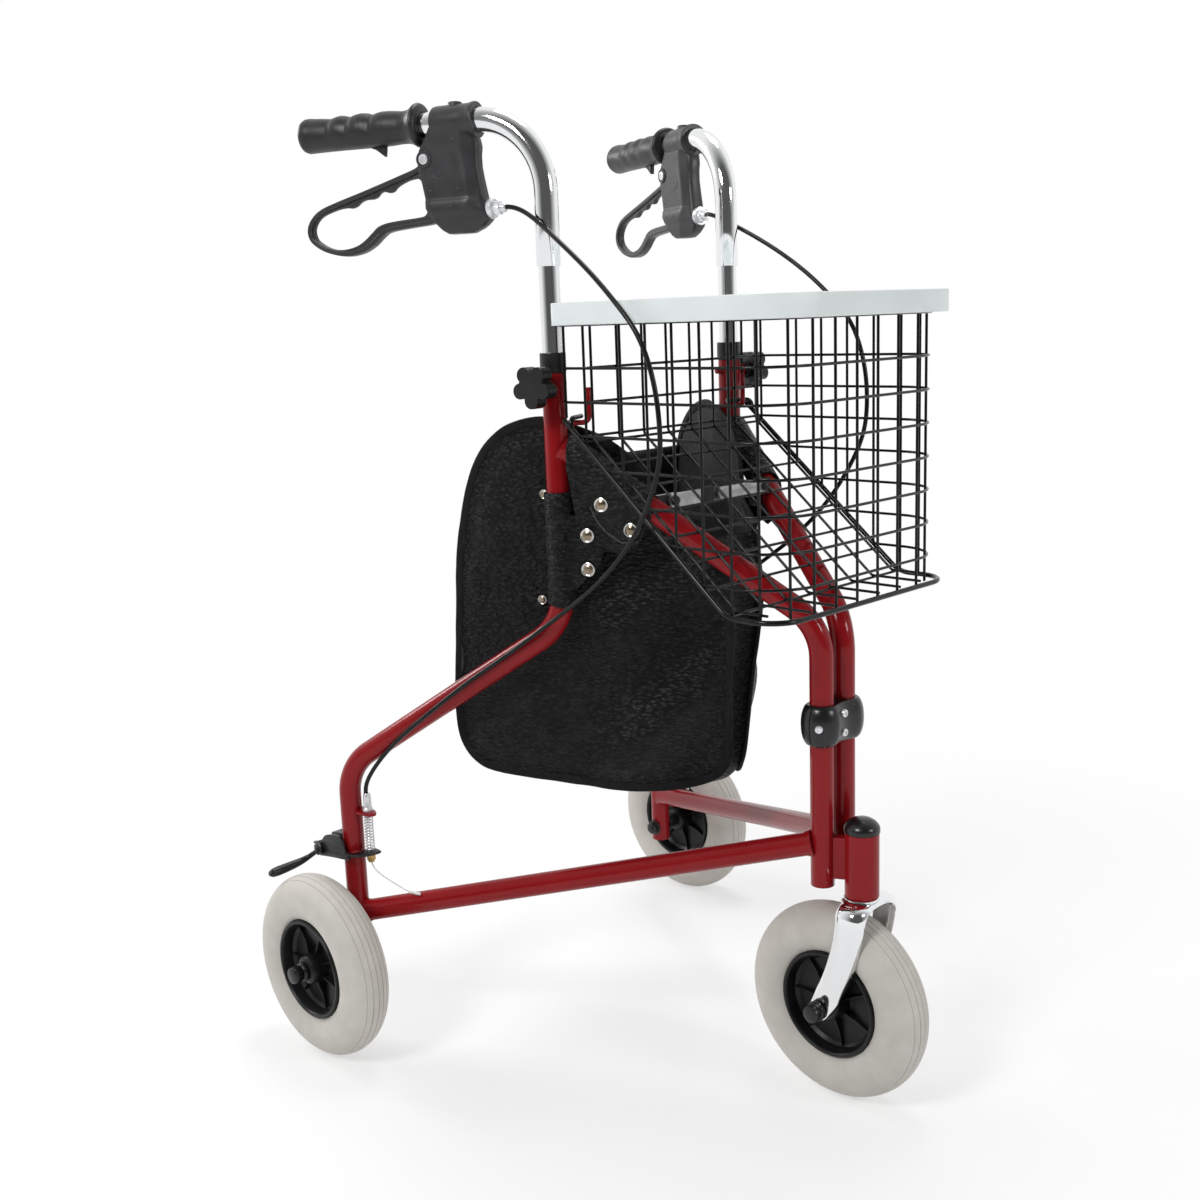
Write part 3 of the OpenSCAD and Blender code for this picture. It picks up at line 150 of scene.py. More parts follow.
def noiseField(tree, scale, detail, stretch=(1, 1, 1), kind="TexNoise"):
    coords = addNode(tree, "TexCoord").outputs["Object"]
    spread = addNode(tree, "Mapping", {"Vector": coords, "Scale": stretch}).outputs["Vector"]
    field = addNode(tree, kind, {"Vector": spread, "Scale": scale, "Detail": detail})
    if kind == "TexNoise":
        return field.outputs[0]
    distance = field.outputs["Distance"]    # its square has rounded tops with narrow valleys between them
    return maths(tree, "MULTIPLY", distance, distance)


shading = {"tone": (0.3, 0.7), "gloss": (0.3, 0.7), "glossScale": 60, "edge": (0.52, 0.62), "edgeShare": 0.6,
           "slope": (0, 0.34), "valley": (0.18, 0.95), "fineShare": 0.4, "grainDepth": 0.0004,
           "coatRough": 0.05, "specular": 0.5}
finishColumns = ("dark", "light", "toneScale", "rough", "grainScale", "grain")


def makeFinish(name, row):
    spec = {**shading, **dict(zip(finishColumns, row)), **row[-1]}
    material = bpy.data.materials.new(name)
    material.use_nodes = True
    tree = material.node_tree
    plain = (1, 1, 1)
    stretch = spec.get("stretch", plain)
    tone = addNode(tree, "ValToRGB", {"Fac": noiseField(tree, spec["toneScale"], 5, stretch)})
    for stop, place, key in zip(tone.color_ramp.elements, spec["tone"], ("dark", "light")):
        stop.position = place
        stop.color = (*spec[key], 1)
    colour = tone.outputs["Color"]
    # convex edges, found by pointiness, are tinted paler
    if "wear" in spec:
        edge = addNode(tree, "NewGeometry").outputs["Pointiness"]
        colour = tinted(tree, colour, ranged(tree, edge, spec["edge"], 0, spec["edgeShare"]), spec["wear"])
    if "upper" in spec:
        # painted top light: slopes that look up are painted paler, as if lit from above
        normal = addNode(tree, "NewGeometry").outputs["Normal"]
        slope = addNode(tree, "SeparateXYZ", {"Vector": normal}).outputs["Z"]
        colour = tinted(tree, colour, ranged(tree, slope, spec["slope"]), spec["upper"])
    gloss = noiseField(tree, spec.get("roughScale", spec["glossScale"]), 6, stretch)
    height = noiseField(tree, spec["grainScale"], 3, spec.get("grainStretch", plain),
                        spec.get("grainKind", "TexNoise"))
    # painted shade: the pebbles' valleys are painted darker, so the grain reads as if its tops were lit
    if "pit" in spec:
        colour = tinted(tree, colour, ranged(tree, height, spec["valley"]), spec["pit"])
    if "fineScale" in spec:
        fine = noiseField(tree, spec["fineScale"], 3)
        height = maths(tree, "MULTIPLY_ADD", fine, spec["fineShare"], height)
    relief = {"Strength": spec["grain"], "Distance": spec["grainDepth"], "Height": height}
    bump = addNode(tree, "Bump", relief, invert="grainKind" in spec)
    connect(tree, tree.nodes["Principled BSDF"], {
        "Base Color": colour,
        "Roughness": ranged(tree, gloss, spec["gloss"], *spec["rough"]),
        "Normal": bump.outputs["Normal"],
        "Metallic": spec.get("metal", 0),
        "Coat Weight": spec.get("coat", 0),
        "Coat Roughness": spec["coatRough"],
        "Specular IOR Level": spec["specular"],
    })
    return material


# the columns above, then what else a finish has
finishRows = {
    "redPaint": ((0.23, 0.006, 0.009), (0.262, 0.008, 0.011), 9, (0.17, 0.22), 420, 0.02,
        {"grainDepth": 0.0001, "coat": 0.18, "coatRough": 0.03, "specular": 0.12}),
    "chrome": ((0.78, 0.79, 0.8), (0.86, 0.87, 0.88), 14, (0.04, 0.11), 350, 0.012,
        {"roughScale": 130, "stretch": (1, 1, 0.25), "metal": 1.0}),
    "tyreGrey": ((0.52, 0.495, 0.455), (0.58, 0.555, 0.515), 60, (0.55, 0.72), 700, 0.25,
        {"fineScale": 2200, "grainDepth": 0.0002}),
    "blackPlastic": ((0.006, 0.006, 0.0065), (0.012, 0.012, 0.0125), 40, (0.3, 0.44), 1400, 0.18,
        {"specular": 0.35, "grainDepth": 0.00015, "wear": (0.022, 0.022, 0.023)}),
    "rimPlastic": ((0.0035, 0.0035, 0.004), (0.007, 0.007, 0.0075), 40, (0.34, 0.46), 1100, 0.12,
        {"specular": 0.28, "grainDepth": 0.00015, "wear": (0.012, 0.012, 0.013)}),
    "glossPlastic": ((0.005, 0.005, 0.0055), (0.01, 0.01, 0.0105), 40, (0.2, 0.3), 1400, 0.08,
        {"specular": 0.45, "grainDepth": 0.00012, "wear": (0.02, 0.02, 0.021)}),
    "housingPlastic": ((0.024, 0.024, 0.026), (0.033, 0.033, 0.036), 60, (0.34, 0.46), 1500, 0.2,
        {"specular": 0.4, "grainDepth": 0.00015, "wear": (0.055, 0.055, 0.058)}),
    "gripRubber": ((0.009, 0.009, 0.01), (0.018, 0.018, 0.019), 55, (0.36, 0.48), 1800, 0.25,
        {"specular": 0.42, "grainDepth": 0.0002}),
    "wireBlack": ((0.003, 0.003, 0.0035), (0.007, 0.007, 0.0075), 60, (0.16, 0.28), 600, 0.08,
        {"coat": 0.1, "specular": 0.2}),
    "casingBlack": ((0.004, 0.004, 0.0045), (0.009, 0.009, 0.0095), 60, (0.22, 0.34), 900, 0.06,
        {"coat": 0.05, "specular": 0.2}),
    "trayWhite": ((0.7, 0.745, 0.75), (0.75, 0.795, 0.8), 18, (0.38, 0.5), 1000, 0.1,
        {"grainDepth": 0.00015}),
    "leather": ((0.017, 0.017, 0.0175), (0.028, 0.028, 0.0285), 30, (0.36, 0.44), 165, 1.0,
        # slopes that face up get the upper colour, a painted top light
        {"upper": (0.085, 0.085, 0.087), "pit": (0.0012, 0.0012, 0.0013), "roughScale": 90,
        "grainKind": "TexVoronoi", "grainStretch": (1, 1, 2.2), "grainDepth": 0.0024, "fineScale": 600,
        "fineShare": 0.08, "specular": 0.3}),
    "binding": ((0.003, 0.003, 0.0035), (0.007, 0.007, 0.0075), 200, (0.6, 0.8), 900, 0.5,
        {"grainStretch": (1, 1, 2.4), "specular": 0.2}),
    # a grey lining, set darker as a painted shade of the bag's inside
    "shadedLining": ((0.03, 0.03, 0.032), (0.055, 0.055, 0.058), 120, (0.7, 0.9), 1500, 0.5, {"specular": 0.2}),
    # paler colour of the flap's raw edge, with a painted highlight of the fold's sheen
    "rawEdge": ((0.035, 0.035, 0.036), (0.07, 0.07, 0.072), 300, (0.6, 0.8), 1200, 0.4, {}),
    "snapNickel": ((0.55, 0.53, 0.5), (0.7, 0.68, 0.65), 160, (0.18, 0.3), 900, 0.03, {"metal": 1.0}),
    "snapBronze": ((0.2, 0.15, 0.1), (0.36, 0.29, 0.22), 220, (0.22, 0.36), 900, 0.05, {"metal": 1.0}),
    "zincSteel": ((0.45, 0.45, 0.46), (0.62, 0.62, 0.63), 90, (0.24, 0.42), 800, 0.1,
        {"roughScale": 300, "metal": 1.0}),
    "blackSteel": ((0.005, 0.005, 0.0055), (0.01, 0.01, 0.0105), 70, (0.26, 0.38), 700, 0.15,
        {"specular": 0.38, "wear": (0.03, 0.03, 0.03)}),
    "brass": ((0.45, 0.3, 0.1), (0.62, 0.44, 0.17), 200, (0.24, 0.38), 900, 0.06, {"metal": 0.8}),
    "brightZinc": ((0.7, 0.71, 0.73), (0.82, 0.83, 0.85), 240, (0.26, 0.4), 900, 0.06, {"metal": 0.6}),
    "webbing": ((0.01, 0.01, 0.011), (0.035, 0.035, 0.036), 420, (0.7, 0.9), 700, 0.8,
        {"grainStretch": (1, 2.6, 0.4)}),
    "endCapWhite": ((0.62, 0.62, 0.6), (0.74, 0.74, 0.72), 90, (0.3, 0.45), 900, 0.08, {}),
}
finishes = {name: makeFinish(name, row) for name, row in finishRows.items()}
print("finishes made:", len(finishes))


# mesh helpers

weld = 1e-7
seam = 2e-6


def joinVerts(shape, dist=weld):
    bmesh.ops.remove_doubles(shape, verts=shape.verts, dist=dist)


def turnOut(shape):
    bmesh.ops.recalc_face_normals(shape, faces=shape.faces)
    return shape


def newVerts(grown):
    return [g for g in grown["geom"] if isinstance(g, bmesh.types.BMVert)]


def openEdges(grown):
    return [g for g in grown["geom"] if isinstance(g, bmesh.types.BMEdge) and g.is_boundary]


def linked(name, data):
    thing = bpy.data.objects.new(name, data)
    bpy.context.scene.collection.objects.link(thing)
    return thing


def fillet(points, radius, steps=10):
    spots = [Vector(p) for p in points]
    path = [spots[0]]
    for before, corner, after in zip(spots, spots[1:], spots[2:]):
        back = (before - corner).normalized()
        ahead = (after - corner).normalized()
        half = back.angle(ahead) / 2
        if half > math.pi / 2 - 0.01:
            path.append(corner)
            continue
        centre = corner + (back + ahead).normalized() * radius / math.sin(half)
        start = corner + back * radius / math.tan(half) - centre
        axis = back.cross(ahead).normalized()
        turn = -(math.pi - 2 * half)
        path += [centre + Matrix.Rotation(turn * i / steps, 3, axis) @ start for i in range(steps + 1)]
    return path + [spots[-1]]


def smoothPath(points, steps=6, closed=False):
    spots = [Vector(p) for p in points]
    count = len(spots)
    path = []
    for i in range(count if closed else count - 1):
        if closed:
            a, b, c, d = (spots[(i + k - 1) % count] for k in range(4))
        else:
            a, b, c, d = spots[max(i - 1, 0)], spots[i], spots[i + 1], spots[min(i + 2, count - 1)]
        for j in range(steps):
            t = j / steps
            path.append((2 * b + (c - a) * t + (2 * a - 5 * b + 4 * c - d) * t * t
                         + (3 * b - a - 3 * c + d) * t ** 3) / 2)
    return path if closed else path + [spots[-1]]


def eased(path, rounds, keep):
    # takes the kinks out of a path and leaves its two ends where they enter something
    for _ in range(rounds):
        inner = [(a + 2 * b + c) / 4 for a, b, c in zip(path, path[1:], path[2:])]
        path = path[:keep] + inner[keep - 1:len(inner) - keep + 1] + path[-keep:]
    return path


def curveShape(curve, loops, closed, merge, swell=None):
    for loop in loops:
        spline = curve.splines.new("POLY")
        spline.points.add(len(loop) - 1)
        spline.use_cyclic_u = closed
        for i, (point, place) in enumerate(zip(spline.points, loop)):
            point.co = (*place, 1)
            point.radius = swell(i, len(loop)) if swell else 1
    holder = bpy.data.objects.new("curve", curve)
    mesh = bpy.data.meshes.new_from_object(holder)
    bpy.data.objects.remove(holder)
    bpy.data.curves.remove(curve)
    shape = bmesh.new()
    shape.from_mesh(mesh)
    bpy.data.meshes.remove(mesh)
    joinVerts(shape, merge)
    return shape


def strandMesh(paths, radius, rounds, swell=None):
    curve = bpy.data.curves.new("strand", "CURVE")
    curve.dimensions = "3D"
    curve.bevel_depth = radius
    curve.bevel_resolution = rounds
    curve.use_fill_caps = True
    return curveShape(curve, paths, False, weld, swell)


def joinInto(target, source, place=None):
    if place:
        source.transform(place)
    mesh = bpy.data.meshes.new("joining")
    source.to_mesh(mesh)
    source.free()
    target.from_mesh(mesh)
    bpy.data.meshes.remove(mesh)
    return target


def bevelSharp(shape, width, segments, angle):
    turnOut(shape)
    sharp = [e for e in shape.edges if len(e.link_faces) == 2 and e.calc_face_angle(0) > math.radians(angle)]
    bmesh.ops.bevel(shape, geom=sharp, offset=width, offset_type="OFFSET", segments=segments, profile=0.5,
                    affect="EDGES", material=-1, clamp_overlap=True)
    return shape


def spun(profile, steps, unit=mm):
    # a closed profile of radius and height, turned about the upright axis
    shape = bmesh.new()
    verts = [shape.verts.new((r * unit, 0, a * unit)) for r, a in profile]
    edges = [shape.edges.new(pair) for pair in zip(verts, verts[1:] + verts[:1])]
    bmesh.ops.spin(shape, geom=verts + edges, cent=(0, 0, 0), axis=(0, 0, 1), dvec=(0, 0, 0),
                   angle=2 * math.pi, steps=steps, use_merge=True, use_duplicate=False)
    joinVerts(shape)
    bmesh.ops.dissolve_degenerate(shape, edges=shape.edges, dist=weld)
    return turnOut(shape)


def block(low, high, bevel, segments):
    shape = bmesh.new()
    bmesh.ops.create_cube(shape, size=1)
    low, high = Vector(low), Vector(high)
    bmesh.ops.scale(shape, vec=high - low, verts=shape.verts)
    bmesh.ops.translate(shape, vec=(low + high) / 2, verts=shape.verts)
    return bevelSharp(shape, bevel, segments, 30)


def bar(start, end, radius, around, bevel=0.0):
    start, end = Vector(start), Vector(end)
    along = end - start
    turn = along.to_track_quat("Z", "Y").to_matrix().to_4x4()
    shape = bmesh.new()
    bmesh.ops.create_cone(shape, cap_ends=True, segments=around, radius1=radius, radius2=radius,
                          depth=along.length, matrix=Matrix.Translation((start + end) / 2) @ turn)
    return bevelSharp(shape, bevel, 2, 50) if bevel else shape


def plate(outline, low, high, bevel, segments):
    shape = bmesh.new()
    face = shape.faces.new([shape.verts.new((x, low, z)) for x, z in outline])
    grown = bmesh.ops.extrude_face_region(shape, geom=[face])
    bmesh.ops.translate(shape, vec=(0, high - low, 0), verts=newVerts(grown))
    return bevelSharp(shape, bevel, segments, 40)


def sheetFrom(spot, across, along):
    shape = bmesh.new()
    bmesh.ops.create_grid(shape, x_segments=across, y_segments=along, size=0.5)
    for vert in shape.verts:
        vert.co = spot(vert.co.x + 0.5, vert.co.y + 0.5)
    return shape


def lofted(spot, around, levels):
    # a closed tube of sections, u round each one and v from the first to the last, with both ends filled
    shape = sheetFrom(spot, around, levels)
    joinVerts(shape)
    bmesh.ops.holes_fill(shape, edges=[e for e in shape.edges if e.is_boundary], sides=0)
    return turnOut(shape)


def flatShape(loops, half, rounding):
    # a plate cut to the first loop, with the other loops as openings; loops lie in back and up
    curve = bpy.data.curves.new("cut", "CURVE")
    curve.dimensions = "2D"
    curve.fill_mode = "BOTH"
    curve.extrude = half - rounding
    curve.bevel_depth = rounding
    curve.bevel_resolution = 2
    curve.offset = -rounding
    shape = curveShape(curve, [[(x, z, 0) for x, z in loop] for loop in loops], True, 10 * weld)
    shape.transform(rotated(math.pi / 2, "X"))
    return turnOut(shape)


def share(value, start, end):
    return max(0.0, min(1.0, (value - start) / (end - start)))


def ramp(value, start, end):
    # a share with soft turns at both ends
    t = share(value, start, end)
    return t * t * (3 - 2 * t)


def finishAs(shape, index):
    for face in shape.faces:
        face.material_index = index
    return shape


def smoothLoop(points, steps=5):
    spots = [(x * mm, 0, z * mm) for x, z in points]
    return [(p.x, p.z) for p in smoothPath(spots, steps, closed=True)]


def drawnIn(loop, depth):
    # the same loop a little smaller
    count = len(loop)
    area = sum(a[0] * b[1] - b[0] * a[1] for a, b in zip(loop, loop[1:] + loop[:1]))
    inner = []
    for i, (x, z) in enumerate(loop):
        before, after = loop[i - 2], loop[(i + 2) % count]
        along = Vector((after[0] - before[0], after[1] - before[1])).normalized()
        turn = depth if area > 0 else -depth
        inner.append((x - along.y * turn, z + along.x * turn))
    return inner


def alongTable(table, at):
    for (a0, b0), (a1, b1) in zip(table, table[1:]):
        if at <= a1:
            return b0 + (b1 - b0) * max(0.0, (at - a0) / (a1 - a0))
    return table[-1][1]


def makePiece(name, shape, finish, body, replaced=(), place=None, smooth=40, merge=seam, outside=True):
    if place:
        shape.transform(place)
    joinVerts(shape, merge)
    if outside:
        turnOut(shape)
    mesh = bpy.data.meshes.new(name)
    shape.to_mesh(mesh)
    shape.free()
    mesh.shade_smooth()
    mesh.set_sharp_from_angle(angle=math.radians(smooth))
    for one in (finish if isinstance(finish, list) else [finish]):
        mesh.materials.append(finishes[one])
    piece = linked(name, mesh)
    if body:
        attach(piece, body)
    if replaced:
        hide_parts(*replaced)
    return piece


def sidePiece(side, word, shape, finish, ride, place, smooth=40):
    # a piece of one side that stands for the node of the same name
    node = side + "".join("_" + letter.lower() if letter.isupper() else letter for letter in word)
    body = side + ride if ride else None
    return makePiece(side + word, shape, finish, body, [node], sides[side] @ place, smooth)


def thicken(piece, wall, offset):
    solid = piece.modifiers.new("wall", "SOLIDIFY")
    solid.thickness = wall
    solid.offset = offset
    return solid


def softEdges(piece, width, segments, angle):
    bevel = piece.modifiers.new("softEdges", "BEVEL")
    bevel.width = width
    bevel.segments = segments
    bevel.limit_method = "ANGLE"
    bevel.angle_limit = math.radians(angle)
    return bevel


def polish(node, name, width, finish, segments=2, angle=32):
    # the node's own mesh with softer edges
    shape = bmesh.new()
    shape.from_mesh(frame["nodes"][node].data)
    joinVerts(shape, 40 * weld)
    bmesh.ops.dissolve_limit(shape, angle_limit=math.radians(0.5), verts=shape.verts, edges=shape.edges)
    piece = makePiece(name, shape, finish, frame["nodes"][node]["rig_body"], [node], smooth=angle,
                      merge=weld, outside=False)
    softEdges(piece, width, segments, angle).harden_normals = True


# red side frames

tubeSpec = {
    "radius": 0.0111, "bend": 0.055, "rounds": 12,
    "bead": (1.22, 1.12, 1.0), "lap": (0.0085, 0.0125, 0.0165), "cut": 0.0012,
    "main": [(0.245, 0, 0.690), (0.245, 0, 0.454), (0.488, 0, 0.296), (0.488, 0, 0.078)],
    "top": [(0, 0, 0.214), (0, 0, 0.460), (0.245, 0, 0.6253)],
    "rail": [(0.488, 0, 0.136), (0, 0, 0.256)],
    "knobZ": 0.679, "stopZ": 0.2485,
    "stop": [(-4, -12), (-12, -13.5), (-22, -13), (-30, -9.5), (-32.5, -5), (-28, 0), (-18, 2.5), (-4, 3),
             (0, -4)],
}
hookSpec = {"rod": 0.0025, "bend": 0.007, "root": 0.2345, "z": 0.644, "tip": 0.676, "gap": 0.0195,
            "play": 0.0002}


def weldSwell(startWeld, endWeld):
    bead = tubeSpec["bead"]

    def swell(i, count):
        if startWeld and i < len(bead):
            return bead[i]
        if endWeld and count - 1 - i < len(bead):
            return bead[count - 1 - i]
        return 1.0
    return swell


def withEnds(path, startLap, endLap):
    first = (path[1] - path[0]).normalized()
    last = (path[-2] - path[-1]).normalized()
    head = [path[0] + first * d for d in startLap]
    tail = [path[-1] + last * d for d in reversed(endLap)]
    return head + path[1:-1] + tail


def tube(path, swell=None):
    return strandMesh([path], tubeSpec["radius"], tubeSpec["rounds"], swell)


mainPath = fillet(tubeSpec["main"], tubeSpec["bend"], 14)
hookLeg = layout["receiver"] - tubeSpec["radius"] - hookSpec["gap"] - hookSpec["rod"]
hookPath = fillet([(hookSpec["root"], 0, hookSpec["z"]), (hookLeg, 0, hookSpec["z"]),
                   (hookLeg, 0, hookSpec["tip"])], hookSpec["bend"], 8)
for side in sides:
    shape = bevelSharp(tube(mainPath), tubeSpec["cut"], 2, 60)
    knobTurn = moved(layout["receiver"], 0, tubeSpec["knobZ"]) @ rotated(-layout["knobTurn"])
    joinInto(shape, bar((0, 0.006, 0), (0, 0.017, 0), 0.007, 28, 0.0008), knobTurn)
    joinInto(shape, bar((0, -0.017, 0), (0, -0.006, 0), 0.003, 20, 0.0005), knobTurn)
    stopPlate = flatShape([smoothLoop(tubeSpec["stop"])], 0.0015, 0.0006)
    stopPlate.transform(moved(0, 0, tubeSpec["stopZ"]) @ outward)
    joinInto(shape, stopPlate, legTurn)
    topPath = withEnds(fillet(tubeSpec["top"], tubeSpec["bend"], 12), (0,), tubeSpec["lap"])
    topShape = bevelSharp(tube(topPath, weldSwell(False, True)), tubeSpec["cut"], 2, 60)
    railPath = withEnds([Vector(p) for p in tubeSpec["rail"]], tubeSpec["lap"], tubeSpec["lap"])
    railShape = tube(railPath, weldSwell(True, True))
    hookShape = bevelSharp(strandMesh([hookPath], hookSpec["rod"], 5), 0.0008, 2, 60)
    for word, part in (("MainTube", shape), ("FrontTube", topShape), ("LowerRail", railShape),
                       ("BasketHook", hookShape)):
        sidePiece(side, word, part, "redPaint", "_frame", framePlace)
    polish(side + "_collar", side + "Collar", 0.0008, "blackPlastic")
    polish(side + "_brace_bracket", side + "BraceBracket", 0.0006, "blackSteel")
    polish(side + "_brace_link", side + "BraceLink", 0.0005, "zincSteel")
print("side frames done")


# wheels

wheelSpec = {
    "halfWidth": 0.024, "bead": 0.0522, "middle": 0.42, "groove": 0.0008, "grooveHalf": 0.9,
    "grooves": (0.335, 0.42, 0.5, 0.58, 0.665), "ribs": 7, "turns": 96,
    # low, high, radius, corners and bevel of each step along an axle
    "rearAxle": [(-0.0204, 0.075, 0.004, 24, 0.0005), (-0.0183, -0.0113, 0.0075, 6, 0.0006),
                 (0.0113, 0.0248, 0.0075, 32, 0.0006), (-0.0125, -0.0112, 0.0095, 32, 0.0004)],
    "frontAxle": [(-0.038, 0.038, 0.004, 24, 0), (0.0232, 0.0268, 0.0075, 32, 0.0004),
                  (-0.0268, -0.0232, 0.0075, 32, 0.0004)],
}


def tyreShape():
    radius = layout["wheelRadius"]
    middle = wheelSpec["bead"] + (radius - wheelSpec["bead"]) * wheelSpec["middle"]
    rise = radius - middle
    first = -math.degrees(math.asin((middle - wheelSpec["bead"]) / rise))
    edges = [first] + [180 * g for g in wheelSpec["grooves"]] + [180 - first]
    profile = []

    def spot(angle, drop):
        a = math.radians(angle)
        return (middle + (rise - drop) * math.sin(a), -wheelSpec["halfWidth"] * math.cos(a))
    for i, (low, high) in enumerate(zip(edges, edges[1:])):
        low += wheelSpec["grooveHalf"] if i else 0
        high -= wheelSpec["grooveHalf"] if i < len(edges) - 2 else 0
        steps = 14 if i in (0, len(edges) - 2) else 5
        profile += [spot(low + (high - low) * j / steps, 0) for j in range(steps + 1)]
        if i < len(edges) - 2:
            profile.append(spot(high + wheelSpec["grooveHalf"] * 0.6, wheelSpec["groove"]))
            profile.append(spot(high + wheelSpec["grooveHalf"] * 1.4, wheelSpec["groove"]))
    return spun(profile, wheelSpec["turns"], 1)


def rimShape():
    half = [(4.06, 23), (10.5, 23), (11.5, 22.2), (13.5, 21.5), (14.8, 19.5), (15.2, 12), (16.5, 4.5),
            (20, 3.5), (42, 5.2), (45.2, 8), (46.8, 17.2), (47.5, 19), (48.4, 19.9), (50.2, 20),
            (51.2, 19.2), (51.8, 17.5), (52, 15)]
    profile = half + [(r, -a) for r, a in reversed(half)]
    shape = spun(profile, wheelSpec["turns"])
    ribOutline = [(0.0140, 0.0120), (0.030, 0.0085), (0.0462, 0.0085), (0.0462, -0.0085), (0.030, -0.0085),
                  (0.0140, -0.0120)]
    for i in range(wheelSpec["ribs"]):
        rib = plate(ribOutline, -0.0006, 0.0006, 0.0003, 2)
        joinInto(shape, rib, rotated(2 * math.pi * i / wheelSpec["ribs"]))
    return shape


def capShape(start, length):
    profile = [(0, start), (0.0080, start), (0.0095, start + 0.0008), (0.0098, start + 0.0034),
               (0.0092, start + 0.0048), (0.0080, start + 0.0056), (0.0080, start + 0.0066),
               (0.0086, start + 0.0074), (0.0087, start + length - 0.003), (0.0080, start + length - 0.001),
               (0.0062, start + length), (0, start + length)]
    return spun(profile, 40, 1)


def axleShape(shape, steps):
    for low, high, radius, around, bevel in steps:
        joinInto(shape, bar((0, 0, low), (0, 0, high), radius, around, bevel))
    return shape


for side in sides:
    sidePiece(side, "RearTyre", tyreShape(), "tyreGrey", "_wheel", rearWheelPlace, 25)
    sidePiece(side, "RearRim", rimShape(), "rimPlastic", "_wheel", rearWheelPlace, 35)
    shape = axleShape(capShape(0.0712, 0.0163), wheelSpec["rearAxle"])
    sidePiece(side, "RearAxle", shape, "blackSteel", "_frame", axlePlace)
makePiece("frontTyre", tyreShape(), "tyreGrey", "front_wheel", ["front_tyre"],
          frontWheelPlace, 25)
makePiece("frontRim", rimShape(), "rimPlastic", "front_wheel", ["front_rim"],
          frontWheelPlace, 35)
shape = joinInto(capShape(0.0332, 0.0128), capShape(0.0332, 0.0128), Matrix.Scale(-1, 4, (0, 0, 1)))
makePiece("frontAxle", axleShape(shape, wheelSpec["frontAxle"]), "blackSteel", "fork_body",
          ["front_axle"], frontWheelPlace)
print("wheels done")


# front fork, head tube and clamp

forkSpec = {"gap": 0.054, "thick": 0.006, "top": 0.205, "topWidth": 0.0255, "lowWidth": 0.0205,
            "shoulder": 0.011, "shift": 0.0380, "knee": 0.55, "sheet": 0.004, "bow": 0.0030,
            "frontRoll": 0.0085, "rearRoll": 0.0030, "crownExtra": 0.34,
            # shares of the strip: the crown's flat, its bend, the arm and where the arm begins
            "flat": 0.16, "bend": 0.30, "arm": 0.86, "armStart": 0.12, "level": (0.72, 0.92)}


def forkLine(t):
    top = Vector((forkSpec["shift"], forkSpec["top"] - 0.005))
    end = Vector((layout["frontWheel"], layout["wheelRadius"]))
    knee = Vector((forkSpec["shift"], end.y + (forkSpec["top"] - end.y) * forkSpec["knee"]))
    return top.lerp(knee, t).lerp(knee.lerp(end, t), t)


def forkSide(t, across):
    ahead = forkLine(min(t + 0.03, 1)) - forkLine(max(t - 0.03, 0))
    ahead.normalize()
    square = Vector((-ahead.y, ahead.x))
    width = forkSpec["topWidth"] + (forkSpec["lowWidth"] - forkSpec["topWidth"]) * t
    return forkLine(t) + square * across * width / 2


def forkSpot(u, v):
    # v runs from one axle over the crown to the other, u across the strip
    spec = forkSpec
    across = 2 * u - 1
    w = abs(2 * v - 1)    # 0 at the crown's middle, 1 past the axle
    out = 1 if v > 0.5 else -1
    roll = spec["frontRoll"] if across > 0 else spec["rearRoll"]
    drop = roll * (1 - math.sqrt(max(0.0, 1 - across * across)))
    low = ramp(w, *spec["level"])    # flat at the axle
    middle = spec["gap"] / 2 + spec["thick"] / 2 + (spec["bow"] - drop) * (1 - low)
    crownZ = spec["top"] - spec["sheet"] / 2 - 0.5 * drop
    flat, bend, arm, radius = spec["flat"], spec["bend"], spec["arm"], spec["shoulder"]
    if w < flat:
        crown = 1 - (w / flat) ** 2
        spot = forkSide(0, across * (1 + crown * spec["crownExtra"]))
        spot.x += (layout["headX"] - spec["shift"]) * crown
        return Vector((spot.x, out * (middle - radius) * w / flat, crownZ))
    if w < bend:
        a = (w - flat) / (bend - flat) * math.pi / 2
        spot = forkSide(0, across)
        return Vector((spot.x, out * (middle - radius + radius * math.sin(a)),
                       crownZ - radius + radius * math.cos(a)))
    t = (w - bend) / (1 - bend)
    if t < arm:
        spot = forkSide(spec["armStart"] + (1 - spec["armStart"]) * t / arm, across)
        return Vector((spot.x, out * middle, min(spot.y, crownZ - radius)))
    turn = (t - arm) / (1 - arm) * math.pi / 2
    ahead = (forkLine(1) - forkLine(0.97)).normalized()
    square = Vector((-ahead.y, ahead.x))
    reach = spec["lowWidth"] / 2
    spot = forkLine(1) + ahead * reach * math.sin(turn) + square * across * reach * max(math.cos(turn), 0.05)
    return Vector((spot.x, out * middle, spot.y))


shape = sheetFrom(forkSpot, 14, 160)
turnOut(shape)
fork = makePiece("forkStrip", shape, "chrome", "fork_body", ["fork"], postPlace, 50)
thicken(fork, forkSpec["sheet"], 0)
softEdges(fork, 0.0014, 4, 50)
shape = spun([(0, 200), (16.5, 204.5), (16.5, 205.5), (15, 206.6), (10, 206.8), (0, 206.8)], 48)
makePiece("forkRace", shape, "chrome", "fork_body", (), headPlace)

polish("head_tube", "headTube", 0.0012, "redPaint", 3)
capProfile = [(0, 268.2), (15.8, 268.2), (16.6, 269), (16.6, 272.8), (15.8, 274.8), (13, 278.2),
              (9, 280.6), (4.5, 281.7), (0, 282)]
makePiece("headCap", spun(capProfile, 48), "glossPlastic", "right_frame", ["head_cap"],
          headPlace)
clampSpec = {"low": 350, "tall": 38, "outer": 19.2, "bore": 11.4, "split": 0.5, "round": 6.8, "valley": 3.0,
             "screws": [(-4.5, 361), (-4.5, 379)], "sideScrew": 369, "sideTurn": math.radians(-62)}


